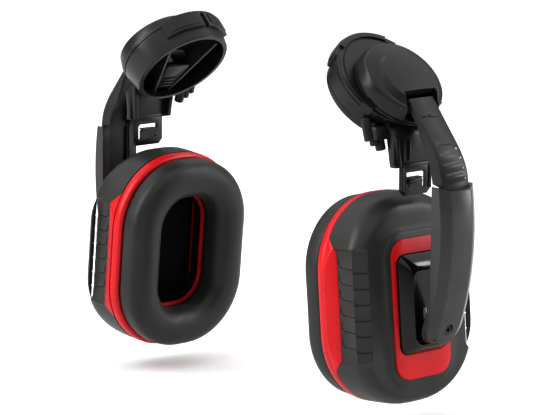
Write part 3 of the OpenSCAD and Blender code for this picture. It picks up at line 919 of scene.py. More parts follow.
    def grip_cutters(self, sign: int) -> BMesh:
        """Returns the tools that cut one side's grip: its flats, L grooves and steps.

        Args:
            sign: -1 or 1, the side of the cup.

        Returns:
            One mesh of separate convex solids.
        """
        rim, start, ridge, finish = self.grip_points(sign)
        half = self.grip_half
        tools = [self.grip_flat(rim, start, sign, (2.0, 0.0), (half + start.x - rim.x + 2.0, half), 0.9),
                 self.grip_flat(start, ridge, sign, (0.6, 0.0), (half, half), 1.7),
                 self.grip_flat(ridge, finish, sign, (0.6, 5.0), (half, half), 1.7)]
        out = Vector((0, sign, 0))
        left = start.x + 1.3
        for i in range(self.grip_count):
            z = self.grip_half - self.groove_gap - self.grip_pitch * i
            for p, q in (
                ((left, z + 4.2), (left + 0.1, z + 1.0)), ((left, z + 1.2), (left + 1.8, z - 0.3)),
                ((left + 1.6, z - 0.25), (ridge.x + 0.3, z - 1.0))
            ):
                tools.append(
                    self._groove(
                        Vector((p[0], start.y, p[1])), Vector((q[0], start.y, q[1])), out, self.groove_w
                    )
                )
        slope = (finish - ridge).normalized()
        normal = Vector((abs(slope.y), sign * slope.x, 0))
        for i in range(self.grip_count):
            top = self.grip_half - self.step_gap - self.grip_pitch * i
            low = top - self.grip_pitch
            points = []
            for p in (ridge - slope * 0.15, finish - slope * 1.2):
                points += [
                    p + normal * 2 + Vector((0, 0, top)), p + normal * 2 + Vector((0, 0, low)),
                    p + normal * 0.05 + Vector((0, 0, top)), p - normal * 0.8 + Vector((0, 0, low))
                ]
            tools.append(hull(points))
        return joined(tools)

    @staticmethod
    def _groove(a: Vector, b: Vector, out: Vector, width: float) -> BMesh:
        """Makes a thin bar between two points of a grip's flat, half sunk in it.

        Args:
            a: Start of the groove.
            b: Where it ends.
            out: Direction outwards.
            width: Width of the groove.

        Returns:
            The solid, as a closed mesh.
        """
        across = (b - a).cross(out).normalized() * (width / 2)
        points = []
        for p in (a, b):
            for s in (-1, 1):
                points += [p + s * across + out * 1.5, p + s * across * 0.6 - out * 0.55]
        return hull(points)

    def make_shell(self) -> None:
        """Moulds the shell, cuts its grips and sets it down."""
        bm = bmesh.new()
        loft(bm, self.shell_rings(), caps=False)
        top = [e for e in bm.edges if e.is_boundary and e.verts[0].co.x > self.face_d - 1]
        bmesh.ops.edgeloop_fill(bm, edges=top)
        faces_out(bm)
        if sum(f.normal.x * f.calc_area() for f in bm.faces) < 0:
            bmesh.ops.reverse_faces(bm, faces=bm.faces[:])
        bmesh.ops.solidify(bm, geom=bm.faces[:], thickness=self.wall)
        faces_out(bm)
        for sign in (-1, 1):
            bm = carved(bm, self.grip_cutters(sign))
        self.bench.set_down(
            bm, "shell", self.place, self.body, SHELL_GREY, "shell_grey", ("cup_shell",), 24.0
        )

    def make_trim(self) -> None:
        """Moulds the trim ring with its lip inside the cushion and its two tall side panels."""
        bm = bmesh.new()
        x0, x1 = self.cushion_t, self.shell_x
        bulge = (
            (x0 + 0.1, 1.6), (x0 + 0.7, 0.6), (x0 + 1.8, 0.1), (x1 - 2.0, 0.0), (x1 - 0.7, 0.2),
            (x1, 0.9), (x1, 2.6), (x0 + 3.2, 2.6)
        )
        lip = self.corner_r - self.opening_r + self.trim_lip
        rings = [self.outline(d, x) for x, d in bulge]
        rings += [
            self.outline(lip, x0 + 3.2), self.outline(lip + 0.3, x0 + 2.4), self.outline(lip, x0 + 1.6),
            self.outline(2.6, x0 + 1.6), self.outline(2.6, x0 + 0.1)
        ]
        loft(bm, rings, closed=True)
        parts = [bm]
        for sign in (-1, 1):
            parts.append(self._side_panel(sign))
        self.bench.set_down(
            joined(parts), "trim", self.place, self.body, RED_PLASTIC, "red_plastic", ("trim_ring",), 24.0
        )

    def _side_panel(self, sign: int) -> BMesh:
        """Makes one tall panel of the trim: it slopes in to the grip, with mitred ends.

        Args:
            sign: -1 or 1, the side of the cup.

        Returns:
            The solid, as a closed mesh.
        """
        rim, start, _, _ = self.grip_points(sign)
        x0, x1 = self.shell_x - 0.5, start.x
        bm = bmesh.new()
        loft(
            bm,
            [
                self.outline(-0.25, x0), self.outline(-0.25, x1 + 1), self.outline(6.0, x1 + 1),
                self.outline(6.0, x0)
            ],
            closed=True
        )
        slope = (start - rim).normalized()
        normal = Vector((-slope.y * sign, slope.x * sign, 0))
        if normal.y * sign < 0:
            normal = -normal
        cuts = [(start + normal * 0.3, normal), (start + slope * 0.2, Vector((1, 0, 0))),
                (Vector((0, sign * 20, 0)), Vector((0, -sign, 0)))]
        for end in (-1, 1):
            cuts.append((Vector((x1, 0, end * self.grip_half)), Vector((1.0, 0, end))))
        for co, no in cuts:
            bmesh.ops.bisect_plane(
                bm, geom=bm.verts[:] + bm.edges[:] + bm.faces[:], dist=TINY, plane_co=co, plane_no=no,
                clear_outer=True
            )
            bmesh.ops.holes_fill(bm, edges=[e for e in bm.edges if e.is_boundary], sides=0)
        faces_out(bm)
        soften(bm, 0.25, 2, 20)
        return bm

    def cushion_rings(self) -> list[Loop]:
        """Works out the cushion's slack sections, round its tube from the back of its outer wall.

        Returns:
            The sections, in order.
        """
        inner = self.corner_r - self.opening_r
        back = self.cushion_t - 0.05
        lip, draw = self.lip_r, self.cushion_in
        front = 0.5
        shoulder = lip * 1.2
        rings = [
            self.outline(draw + 1.0, back), self.outline(draw + 0.45, back - 1.2),
            self.outline(draw + 0.2, back - 3)
        ]
        for step in range(1, 8):
            angle = math.radians(90 * step / 8)
            inset = draw + 0.2 + shoulder * (1 - math.cos(angle))
            rings.append(self.outline(inset, front + lip - lip * math.sin(angle)))
        for share in (0.0, 0.33, 0.67, 1.0):
            start, end = draw + shoulder + 0.6, inner - shoulder - 0.6
            rings.append(self.outline(start + (end - start) * share, front))
        for step in range(1, 9):
            angle = math.radians(90 * step / 8)
            inset = inner - shoulder * (1 - math.sin(angle))
            rings.append(self.outline(inset, front + lip * 1.1 * (1 - math.cos(angle))))
        rings += [self.outline(inner, back - 1.5), self.outline(inner - 0.6, back)]
        return rings

    def make_cushion(self) -> None:
        """Sews the cushion: a sealed ring, swollen by air pressure and held at its back."""
        bm = bmesh.new()
        loft(bm, self.cushion_rings(), closed=True)
        swell(bm, held=lambda p: p.x > self.cushion_t - self.sewn, air=Inflation())
        for vert in bm.verts:
            vert.co.x = max(vert.co.x, 0.0)
        smooth_once(bm)
        obj = self.bench.set_down(bm, "cushion", self.place, self.body, CUSHION, "cushion_vinyl",
                                  ("cushion_skin", "cushion_foam"), 60.0)

    def make_face(self) -> None:
        """Moulds the coloured face panel, open in the middle for the pivot seat."""
        bm = bmesh.new()
        x0, x1 = self.face_d - 0.05, self.face_d + self.panel_t
        w, h, r = self.panel_w, self.panel_h, self.panel_r
        sw, sh = self.seat_w + 0.3, self.seat_h + 0.3

        def outer(inset: float, x: float) -> Loop:
            """Returns the panel's outline, drawn in by a distance."""
            return at_x(rounded_loop(w - 2 * inset, h - 2 * inset, r - inset, self.panel_up, 10), x)

        def inside(grow: float, x: float) -> Loop:
            """Returns the opening's outline, let out by a distance."""
            return at_x(rounded_loop(sw + 2 * grow, sh + 2 * grow, 5.1 + grow, self.seat_up, 10), x)

        loft(
            bm,
            [
                outer(0, x0), outer(0, x1 - 0.5), outer(0.18, x1 - 0.16), outer(0.6, x1), inside(0.3, x1),
                inside(0, x1 - 0.3), inside(0, x0)
            ],
            closed=True
        )
        self.bench.set_down(
            bm, "face_plate", self.place, self.body, RED_PLASTIC, "red_plastic", ("face_panel",)
        )

    def make_seat(self) -> None:
        """Moulds the pivot seat: bevelled block with a long trough and the swivel's pocket."""
        bm = bmesh.new()
        top = self.face_d + self.seat_proud
        w, h, up = self.seat_w, self.seat_h, self.seat_up

        def ring(dw: float, low: float, high: float, r: float, x: float) -> Loop:
            """Returns the seat's outline, drawn in at its sides, foot and head."""
            return at_x(rounded_loop(w - 2 * dw, h - low - high, r, up + (low - high) / 2, 8), x)

        base = self.swivel_x - self.pocket_d

        def pocket_ring(grow: float, x: float) -> Loop:
            """Returns the swivel pocket's outline, let out by a distance."""
            return at_x(
                rounded_loop(
                    self.pocket_w + 2 * grow, self.pocket_h + 2 * grow, 1.0 + grow, self.pivot_up, 8
                ),
                x
            )

        rings = [
            pocket_ring(1.6, base - 1.5), pocket_ring(1.6, self.face_d),
            ring(0.2, 0.2, 0.2, 4.8, self.face_d), ring(0, 0, 0, 5, self.face_d + 0.4),
            ring(0, 0, 0, 5, self.face_d + 2.2), ring(0.35, 0.2, 0.4, 4.9, self.face_d + 2.8),
            ring(4.3, 2.4, 5.2, 4.6, top - 0.5), ring(5.0, 3.0, 6.4, 4.4, top),
            ring(5.5, 4.4, 7.4, 4.2, top + 0.05), ring(5.9, 4.8, 7.9, 4.0, top - 0.4),
            ring(6.4, 5.2, 8.6, 3.8, top - 3.3), ring(7.0, 5.9, 9.3, 3.4, top - 3.6),
            pocket_ring(-0.2, top - 3.7), pocket_ring(-0.4, top - 4.2), pocket_ring(-0.4, base)
        ]
        loft(bm, rings)
        lip = block((top - 3.4, top - 1.4), (-4.0, 4.0), (up - h / 2 + 6.2, up - h / 2 + 9.6))
        soften(lip, 0.5)
        self.bench.set_down(joined([bm, lip]), "seat", self.place, self.body, SEAT_GLOSS, "gloss_black",
                            ("pivot_seat",), 26.0)

    def build(self) -> None:
        """Makes every piece of the cup."""
        self.make_shell()
        self.make_trim()
        self.make_cushion()
        self.make_face()
        self.make_seat()


# ------------------------------------------------------------------ arms


@dataclass
class Arms:
    """The inner arm and the sliding outer arm, modelled in the shared frame's axes."""

    bench: Bench
    width: float = 23.4
    top: float = -7.3
    bow_z: float = -31.3
    out_x: float = 133.6
    pivot_x: float = 117.6
    pivot_z: float = -78.3
    end_out: float = 8.1
    end_drop: float = 7.5
    slide_gap: float = 0.25
    lip_t: float = 1.4
    lip_reach: float = 2.4
    end_r: float = 9.0
    end_pocket: float = 7.3
    end_floor: float = 2.3
    screw_r: float = 2.75
    screw_bore: float = 1.35
    scoop_r: float = 30.0
    arm_x: float = 127.3
    arm_end: float = -45.3
    inner_w: float = 18.0
    inner_t: float = 3.4
    neck_w: float = 15.0
    bend_r: float = 30.0
    bend_a: float = 39.0
    bend_z: float = -9.3
    neck_run: float = 20.5
    notch_pitch: float = 4.8
    edge_turn: float = 4.2
    knuckle_r: float = 3.0
    pin_bore: float = 1.6

    @property
    def bow_r(self) -> float:
        """Radius of the outer arm's bow."""
        rise = self.bow_z - self.pivot_z
        sag = self.out_x - self.pivot_x - self.end_out
        return (rise * rise + sag * sag) / (2 * sag)

    def outside(self, z: float) -> float:
        """Returns how far out the outer arm's back lies at a height."""
        r = self.bow_r
        return self.out_x - r + math.sqrt(r * r - (z - self.bow_z) ** 2)

    def sleeve_section(self, z: float, lip: float, pocket: float, floor: float, squeeze: float) -> Loop:
        """Returns the outer arm's C-shaped section at a height.

        Args:
            z: Height of the section.
            lip: How far the retaining lips reach inwards.
            pocket: Half width of the channel.
            floor: Thickness of the back wall, or 0 where the section is solid.
            squeeze: How much the half width is drawn in, for the rounded end.

        Returns:
            The section's points, the same number at each height.
        """
        half = self.width / 2 - squeeze
        out = self.outside(z)
        inner = self.arm_x - self.inner_t / 2 - self.slide_gap - self.lip_t
        low = min(inner, out - 6.8)
        bevel = min(4.9, half * 0.45)
        depth = 2.6
        wall = min(pocket, half - 0.8)
        ledge = self.lip_t if floor > 0 else 0.0
        back = out - floor if floor > 0 else low
        right = [(out, half - bevel - 0.4), (out - 0.12, half - bevel + 0.4), (out - depth, half - 0.5),
                 (out - depth - 0.7, half), (low, half), (low, wall - lip), (low + ledge, wall - lip),
                 (low + ledge, wall), (back, wall)]
        points = [Vector((x, y, z)) for x, y in right]
        points += [Vector((x, -y, z)) for x, y in reversed(right)]
        return points

    def end_squeeze(self, z: float) -> float:
        """Returns how much the outer arm's half width is drawn in at a height near its rounded end."""
        sink = max(0.0, self.pivot_z - self.end_drop + self.end_r - z)
        return self.end_r - math.sqrt(max(0.0, self.end_r ** 2 - sink ** 2))

    def make_outer(self) -> None:
        """Moulds the glossy outer arm: bowed back, bevelled sides, open channel inside."""
        bottom = self.pivot_z - self.end_drop
        bm = bmesh.new()
        rings = []
        count = 26
        channel = self.inner_w / 2 + 0.3
        for i in range(count + 1):
            z = self.top + (self.arm_end - 1 - self.top) * i / count
            floor = max(2.2, self.outside(z) - self.arm_x - self.inner_t / 2 - self.slide_gap)
            rings.append(self.sleeve_section(z, self.lip_reach, channel, floor, 0.0))
        low_start = self.arm_end - 1.05
        low_end = self.pivot_z - 5.6
        low_count = 16
        for i in range(low_count + 1):
            z = low_start + (low_end - low_start) * i / low_count
            rings.append(
                self.sleeve_section(z, 0.0, self.end_pocket, self.end_floor, self.end_squeeze(z))
            )
        for share in (0.0, 0.35, 0.65, 0.85, 0.96):
            z = low_end - 0.05 + (bottom - low_end) * share
            rings.append(self.sleeve_section(z, 0.0, self.end_pocket, 0.0, self.end_squeeze(z)))
        loft(bm, rings)
        bmesh.ops.remove_doubles(bm, verts=bm.verts[:], dist=1e-3)
        pivot = Vector((self.pivot_x, 0, self.pivot_z))
        out = Vector((20, 0, 0))
        scoop = Vector((self.arm_x, 0, self.top + 27.6))
        tools = [rod(self.screw_r, pivot + Vector((self.end_out - 1.5, 0, 0)), pivot + out),
                 rod(self.screw_bore, pivot, pivot + out),
                 rod(self.scoop_r, scoop - out, scoop + out, segments=96)]
        bm = carved(bm, joined(tools))
        self.bench.set_down(bm, "sleeve", IDENTITY, self.bench.node("outer_arm"), SLEEVE_GLOSS,
                            "gloss_black", ("outer_arm",), 24.0)

    @property
    def along(self) -> Vector:
        """The direction in which the inner arm's neck runs up to the turret."""
        return Vector((-math.sin(math.radians(self.bend_a)), 0, math.cos(math.radians(self.bend_a))))

    def path(self) -> list[tuple[Vector, Vector, float]]:
        """Works out the inner arm's stations: middle, outward direction and half width.

        Returns:
            The stations, from the sleeve to the turret.
        """
        stations = []
        for i in range(9):
            z = self.arm_end + (self.bend_z - self.arm_end) * i / 8
            stations.append((Vector((self.arm_x, 0, z)), Vector((1, 0, 0)), self.inner_w / 2))
        bend_x = self.arm_x - self.bend_r
        for i in range(1, 14):
            angle = math.radians(self.bend_a * i / 13)
            out = Vector((math.cos(angle), 0, math.sin(angle)))
            share = max(0.0, min(1.0, (i - 4) / 7))
            share = share * share * (3 - 2 * share)
            half = self.inner_w / 2 - 0.5 * share
            stations.append((Vector((bend_x, 0, self.bend_z)) + self.bend_r * out, out, half))
        end, out, _ = stations[-1]
        for run in (0.4, 0.75, 0.97, 1.0, 1.3, 1.36):
            stations.append((end + self.along * (self.neck_run * run), out, self.inner_w / 2 - 0.5))
        return stations

    @staticmethod
    def arm_section(middle: Vector, out: Vector, half: float, thick: float, wall: float) -> Loop:
        """Works out the inner arm's section: a flat bar whose long edges turn in by a wall.

        Args:
            middle: Middle of the section.
            out: Direction outwards.
            half: Half of its width.
            thick: Thickness of the bar.
            wall: Depth of the turned-in wall.

        Returns:
            The loop's points.
        """
        t = thick / 2
        back = -t - wall
        corners = [
            (t, half - 1.3), (t - 0.35, half - 0.35), (t - 1.1, half), (back + 0.5, half),
            (back, half - 0.5), (back, half - 1.6), (-t + 0.7, half - 2.1)
        ]
        points = [middle + out * a + Vector((0, b, 0)) for a, b in corners]
        points += [middle + out * a + Vector((0, -b, 0)) for a, b in reversed(corners)]
        return points

    def edge_wall(self, station: int, count: int) -> float:
        """Works out how far the arm's edges turn in: only above the sleeve and below the hinge.

        Args:
            station: Number of the station.
            count: How many stations there are.

        Returns:
            The distance, in millimetres.
        """
        rise = max(0.0, min(1.0, station - 9.0))
        fall = max(0.0, min(1.0, (count - 5 - station) / 2))
        return self.edge_turn * min(rise, fall)

    def make_inner(self) -> None:
        """Moulds the inner arm with its dimples, cross grooves, pips and the neck's bar, and pale dots in
        the dimples that paint their glints as a highlight.
        """
        bm = bmesh.new()
        path = self.path()
        rings = []
        for i, (middle, out, half) in enumerate(path):
            rings.append(self.arm_section(middle, out, half, self.inner_t, self.edge_wall(i, len(path))))
        loft(bm, rings)
        face = self.arm_x + self.inner_t / 2
        tools = []
        for i in range(3):
            z = self.bend_z - 0.3 - self.notch_pitch * (i + 1)
            tools.append(self._oval(Vector((face, self.inner_w / 2 - 2.6, z)), 1.1, 0.8))
        glint_dots = []
        for i in range(4):
            arc = math.degrees((4.5 + self.notch_pitch * i) / self.bend_r)
            on_bend = Matrix.Translation((self.arm_x - self.bend_r, 0, self.bend_z)) @ leaned(arc)
            edge = self.inner_w / 2 - 2.4 - 0.35 * i
            dimple = self._oval(Vector((self.bend_r + self.inner_t / 2, edge, 0)), 1.15, 0.85)
            bmesh.ops.transform(dimple, matrix=on_bend, verts=dimple.verts[:])
            tools.append(dimple)
            # Pale dot in the dimple: a painted highlight of its glint.
            glint_dot = self._oval(Vector((self.bend_r + self.inner_t / 2 - 0.35, edge, 0)), 0.75, 0.5)
            bmesh.ops.transform(glint_dot, matrix=on_bend, verts=glint_dot.verts[:])
            glint_dots.append(glint_dot)
            line_place = on_bend @ leaned(0.5 * math.degrees(self.notch_pitch / self.bend_r))
            tools.append(block((self.bend_r + self.inner_t / 2 - 0.25, self.bend_r + 3),
                               (-self.inner_w / 2 + 3.4, edge - 1.8), (-0.18, 0.18), line_place))
        bm = carved(bm, joined(tools))
        self.bench.set_down(joined(glint_dots), "arm_dimple_glints", IDENTITY, self.bench.node("inner_arm"), DIMPLE_GLINT,
                            "satin_black")
        end, out, _ = self.path()[-3]
        bar_at = end + out * (self.inner_t / 2) - self.along * 3
        pips = []
        for y in (-5.2, -3.4):
            pip = bar_at + Vector((0, y, 0))
            pips.append(rod(0.7, pip - out * 0.3, pip + out * 0.6, 0.5, 20))
        turn = Matrix.Translation(bar_at) @ leaned(self.bend_a)
        bar = block((-0.3, 0.55), (-1.5, 4.6), (-0.6, 0.6), turn)
        soften(bar, 0.2)
        self.bench.set_down(joined([bm, bar] + pips), "slide_arm", IDENTITY, self.bench.node("inner_arm"),
                            SATIN_BLACK, "satin_black", ("inner_arm",), 24.0)

    @staticmethod
    def _oval(at: Vector, half_z: float, half_y: float) -> BMesh:
        """Makes a small ball squashed to an oval, for a dimple.

        Args:
            at: Where its middle lies.
            half_z: Half its height.
            half_y: Half its width.

        Returns:
            The solid, as a closed mesh.
        """
        bm = bmesh.new()
        bmesh.ops.create_uvsphere(bm, u_segments=16, v_segments=8, radius=1.0)
        bmesh.ops.scale(bm, vec=(0.6, half_y, half_z), verts=bm.verts[:])
        bmesh.ops.translate(bm, vec=at, verts=bm.verts[:])
        return bm

    def knuckle(self, turret: Matrix, hinge_h: float, hinge_off: float) -> None:
        """Adds the barrel by which the inner arm turns on its pin, below the cap's window.

        Args:
            turret: The turret's frame.
            hinge_h: Height of the hinge on the turret's axis.
            hinge_off: How far the hinge lies below that axis.
        """
        end, r, bore = self.neck_w / 2 - 0.2, self.knuckle_r, self.pin_bore
        bm = lathe(
            [(-end, bore), (-end, r - 0.3), (-end + 0.3, r), (end - 0.3, r), (end, r - 0.3), (end, bore)],
            48
        )
        turn = Matrix.Translation((hinge_h, 0, -hinge_off)) @ Matrix.Rotation(math.pi / 2, 4, "Z")
        bmesh.ops.transform(bm, matrix=turn, verts=bm.verts[:])
        corners = ((hinge_h, 2.2), (9.2, 1.0), (9.2, -2.6), (hinge_h, -2.6))
        web = prism([Vector((h, -7, z - hinge_off)) for h, z in corners], Vector((0, 14, 0)))
        self.bench.set_down(
            joined([bm, web]), "arm_knuckle", turret, self.bench.node("inner_arm"), SATIN_BLACK,
            "satin_black"
        )

    def build(self) -> None:
        """Makes both arms."""
        self.make_outer()
        self.make_inner()


# ------------------------------------------------------------------ turret


@dataclass
class Turret:
    """The turning cap and its base. Its frame has X along the turret's axis and Z up the clip."""

    bench: Bench
    axis_x: float = 86.5
    axis_z: float = 34.4
    tilt: float = 45.0
    cap_r: float = 23.0
    front_r: float = 21.0
    edge_h: float = 9.8
    dome_h: float = 3.0
    wall: float = 2.2
    base_t: float = 3.0
    fit: float = 0.3
    window_w: float = 21.0
    window_top: float = -10.9
    hinge_h: float = 5.8
    hinge_off: float = 15.5
    hub_r: float = 6.0
    screw_bore: float = 1.3
    turns: int = 120

    @property
    def place(self) -> Matrix:
        """The turret's frame, in millimetres."""
        return Matrix.Translation((self.axis_x, 0, self.axis_z)) @ leaned(self.tilt)

    def profile(self, wall: float) -> list[tuple[float, float]]:
        """Works out the cap's outer or inner section, from its base to its middle.

        Args:
            wall: How far inside the outer skin it lies.

        Returns:
            Pairs of distance along the axis and radius.
        """
        base = self.base_t + self.fit
        points = [(base, self.cap_r - wall), (base + 0.6, self.cap_r - wall)]
        shoulder = self.edge_h - wall
        points += [(shoulder - 2.4, self.front_r + 1.0 - wall)]
        for step in range(1, 6):
            angle = math.radians(90 * step / 5)
            points.append(
                (
                    shoulder - 1.9 + 1.9 * math.sin(angle),
                    self.front_r + 0.8 - wall - 1.9 * (1 - math.cos(angle))
                )
            )
        edge = self.front_r - 1.1 - wall
        for step in range(1, 8):
            share = step / 7
            points.append((shoulder + self.dome_h * (1 - (1 - share) ** 2), edge * (1 - share)))
        return points

    def make_cap(self) -> None:
        """Moulds the cap: a domed shell with a raised crescent front and a window below."""
        outer = self.profile(0.0)
        inner = self.profile(self.wall)
        bm = lathe(outer + list(reversed(inner)), self.turns)
        bm = carved(bm, self._lid(), "UNION")
        half = self.window_w / 2
        window = block((3.0, 20), (-half, half), (-30, self.window_top))
        bm = carved(bm, window)
        bm = joined([bm, self._posts()])
        self.bench.set_down(bm, "cap", self.place, self.bench.node("turret"), SATIN_BLACK, "satin_black",
                            ("turret_cap",), 22.0)

    def _lid(self) -> BMesh:
        """Makes the raised front: a broad low disc that leans off towards the window.

        Returns:
            The solid, as a closed mesh.
        """
        bm = bmesh.new()
        front = self.edge_h + self.dome_h
        rings = []
        for r, x, down in (
            (17.8, self.edge_h - 1.0, 2.6), (17.6, self.edge_h + 0.2, 2.6), (15.4, front - 0.4, 2.4),
            (14.9, front + 0.05, 2.2), (10.0, front + 0.75, 1.6), (4.0, front + 1.05, 1.2)
        ):
            ring = [
                Vector((x, r * math.cos(math.tau * i / 96), -down + r * math.sin(math.tau * i / 96)))
                for i in range(96)
            ]
            rings.append(ring)
        loft(bm, rings)
        return bm

    def _posts(self) -> BMesh:
        """Makes the hinge bosses on both sides of the window.

        Returns:
            The solid, as a closed mesh.
        """
        half = self.window_w / 2
        x = (self.base_t + self.fit, self.edge_h - 0.8)
        z = (-self.hinge_off - 1.8, -self.hinge_off + 5)
        sides = ((-half - 3.4, -half - 0.05), (half + 0.05, half + 3.4))
        return joined([block(x, y, z) for y in sides])

    def make_base(self) -> None:
        """Moulds the base disc with a groove round its rim."""
        x0, x1 = self.fit, self.base_t + self.fit
        bm = lathe(
            [
                (-4.0, self.screw_bore), (-4.0, self.hub_r), (x0, self.hub_r), (x0, self.cap_r - 0.4),
                (x0 + 0.4, self.cap_r), (x0 + 1.3, self.cap_r), (x0 + 1.5, self.cap_r - 0.5),
                (x0 + 1.9, self.cap_r - 0.5), (x0 + 2.1, self.cap_r), (x1 - 0.05, self.cap_r),
                (x1 - 0.05, 14.0), (x1 - 1.4, 14.0), (x1 - 1.4, self.screw_bore)
            ],
            self.turns
        )
        half = self.window_w / 2
        recess = block(
            (self.hinge_h - 3.5, 6), (-half, half), (-self.hinge_off - 3.8, -self.hinge_off + 4.6)
        )
        bm = carved(bm, recess)
        self.bench.set_down(
            bm, "base_disc", self.place, self.bench.node("turret"), BLACK_PLASTIC, "black_plastic",
            ("turret_base",), 26.0
        )

    def build(self) -> None:
        """Makes the turret's pieces."""
        self.make_cap()
        self.make_base()


# ------------------------------------------------------------------ helmet clip


@dataclass
class HelmetClip:
    """The clip: hoop, stiff carrier and slot blade, with the cover inside the hoop."""

    bench: Bench
    turret: Turret
    hoop_r: float = 28.0
    rim_r: float = 26.0
    depth: float = 15.0
    wall: float = 2.4
    face_t: float = 3.0
    hoop_off: float = 7.0
    blade_x: float = 101.0
    blade_w: float = 20.0
    blade_len: float = 15.3
    blade_t: float = 2.0
    hub_bore: float = 6.05
    foot_r: float = 2.5
    carrier_y: tuple[float, float] = (-16.0, 12.5)

    def in_hoop(self, bm: BMesh) -> BMesh:
        """Moves a mesh from the hoop's own middle into the turret's frame."""
        bmesh.ops.translate(bm, vec=(0, 0, self.hoop_off), verts=bm.verts[:])
        return bm

    def hoop(self) -> BMesh:
        """Makes the hoop in the turret's frame: a shallow drum, grooved round its face.

        Returns:
            The solid, as a closed mesh.
        """
        r, rim, d, w = self.hoop_r, self.rim_r, self.depth, self.wall
        profile = [
            (-d, rim - w), (-d, rim - 0.5), (-d + 0.5, rim), (-3.2, r - 0.1), (-2.9, r - 0.1),
            (-2.6, r - 0.5), (-2.2, r - 0.5), (-1.9, r), (-0.9, r), (-0.5, r - 0.35), (-0.5, r - 1.3),
            (0.0, r - 1.7), (0.0, r - 2.6), (-0.45, r - 2.8), (-0.45, r - 3.4), (0.0, r - 3.6),
            (0.0, 3.0), (-self.face_t, 3.0), (-self.face_t, r - w - 0.4), (-self.face_t - 0.6, r - w)
        ]
        return self.in_hoop(lathe(profile, 144))

    def sector(
        self, start: float, end: float, x: tuple[float, float], r: tuple[float, float], edge: float
    ) -> BMesh:
        """Makes a stretch of a flat band round the hoop, between two angles in degrees from its +Y side.

        Args:
            start: Angle at which it starts.
            end: Angle at which it ends.
            x: Its limits along the axis.
            r: Inner and outer radius.
            edge: Width of the bevel on its outside.

        Returns:
            The solid, as a closed mesh.
        """
        bm = bmesh.new()
        rings = []
        count = max(2, round(abs(end - start) / 3))
        for i in range(count + 1):
            angle = math.radians(start + (end - start) * i / count)
            out = Vector((0, math.cos(angle), math.sin(angle)))
            low, high = r
            corners = (
                (x[0], low), (x[0], high - edge), (x[0] + edge, high), (x[1] - edge, high),
                (x[1], high - edge), (x[1], low)
            )
            rings.append([Vector((a, 0, 0)) + out * b for a, b in corners])
        loft(bm, rings)
        return self.in_hoop(bm)

    def dressing(self) -> BMesh:
        """Makes the raised pads, their lip and the small tab on the hoop's outside.

        Returns:
            The solid, as a closed mesh.
        """
        r = self.hoop_r
        pad_x, pad_r = (-9.5, -0.6), (r - 1.6, r + 0.9)
        crown_x, crown_r = (-8.0, -2.0), (r, r + 1.3)
        bands = (
            (46, 92, pad_x, pad_r, 0.4),
            (98, 142, pad_x, pad_r, 0.4),
            (52, 88, crown_x, crown_r, 0.3),
            (103, 138, crown_x, crown_r, 0.3),
            (60, 128, (-0.8, 0.7), (r - 2.4, r + 0.3), 0.3),
            (206, 218, (-4.0, 1.0), (r - 2.2, r + 0.8), 0.4),
            (150, 204, (-12.6, -11.4), (self.rim_r + 0.1, self.rim_r + 0.75), 0.2),
        )
        return joined([self.sector(*band) for band in bands])

    def ribs(self) -> BMesh:
        """Makes the hoop's inner ribs, a V that opens towards the top.

        Returns:
            The solid, as a closed mesh.
        """
        parts = []
        for sign in (-1, 1):
            low = Vector((0, sign * 4.6, -self.rim_r + 3.2))
            high = Vector((0, sign * 15.5, self.rim_r - 10.5))
            line = (high - low).normalized()
            side = Vector((0, line.z, -line.y)) * 0.8
            outline = [low - side, low + side, high + side, high - side]
            rib = prism(
                [p + Vector((-self.depth + 2.6, 0, 0)) for p in outline], Vector((self.depth - 5.4, 0, 0))
            )
            soften(rib, 0.25, 1)
            parts.append(self.in_hoop(rib))
        web = block(
            (-self.depth + 5, -self.face_t - 0.02), (-3.9, 3.9), (-self.rim_r + 2.8, -self.rim_r + 4.4)
        )
        parts.append(self.in_hoop(web))
        return joined(parts)

    def cover(self) -> None:
        """Moulds the narrow cover between the ribs, with three finger steps."""
        low = -self.rim_r + 5.5
        outline = [
            (-5.2, low), (5.2, low), (8.0, low + 17), (6.6, low + 18.6), (-6.6, low + 18.6),
            (-8.0, low + 17)
        ]
        x = -self.depth + 3.2
        plate = prism([Vector((x, y, z)) for y, z in outline], Vector((1.5, 0, 0)))
        soften(plate, 0.4)
        parts = [plate]
        for i in range(3):
            step = block((x - 0.7, x + 0.3), (-4.2, 4.2), (low + 2.0 + 2.6 * i, low + 3.3 + 2.6 * i))
            soften(step, 0.25)
            parts.append(step)
        bm = self.in_hoop(joined(parts))
        self.bench.set_down(
            bm, "cover", self.turret.place, "helmet_clips", BLACK_PLASTIC, "black_plastic",
            ("clip_cover",)
        )

    def build(self) -> None:
        """Makes the clip and its cover."""
        self.cover()
        place = self.turret.place
        hub = rod(self.hub_bore, Vector((-20, 0, 0)), Vector((2, 0, 0)), segments=64)
        hoop = joined([carved(self.hoop(), hub), self.ribs(), self.dressing()])
        bmesh.ops.transform(hoop, matrix=place, verts=hoop.verts[:])
        clip = joined([hoop, self.blade(), self.carrier()])
        self.bench.set_down(clip, "clip", IDENTITY, "helmet_clips", BLACK_PLASTIC, "black_plastic",
                            ("helmet_clip",), 26.0)

    def blade(self) -> BMesh:
        """Makes the slot blade with its raised rims and the latch tongue's L slot.

        Returns:
            The solid, as a closed mesh.
        """
        half, t, x = self.blade_w / 2, self.blade_t / 2, self.blade_x
        corner = 2.5
        outline = [
            (-half, 1.2), (half, 1.2), (half, -self.blade_len + corner), (half - corner, -self.blade_len),
            (-half + corner, -self.blade_len), (-half, -self.blade_len + corner)
        ]
        bm = prism([Vector((x - t, y, z)) for y, z in outline], Vector((2 * t, 0, 0)))
        soften(bm, 0.35)
        leg, top, reach = 2.4, -4.0, half - 3.4

        def drill(radius: float, y: float, z: float, segments: int) -> BMesh:
            """Returns a rod right through the blade."""
            return rod(radius, Vector((x - 3, y, z)), Vector((x + 3, y, z)), segments=segments)

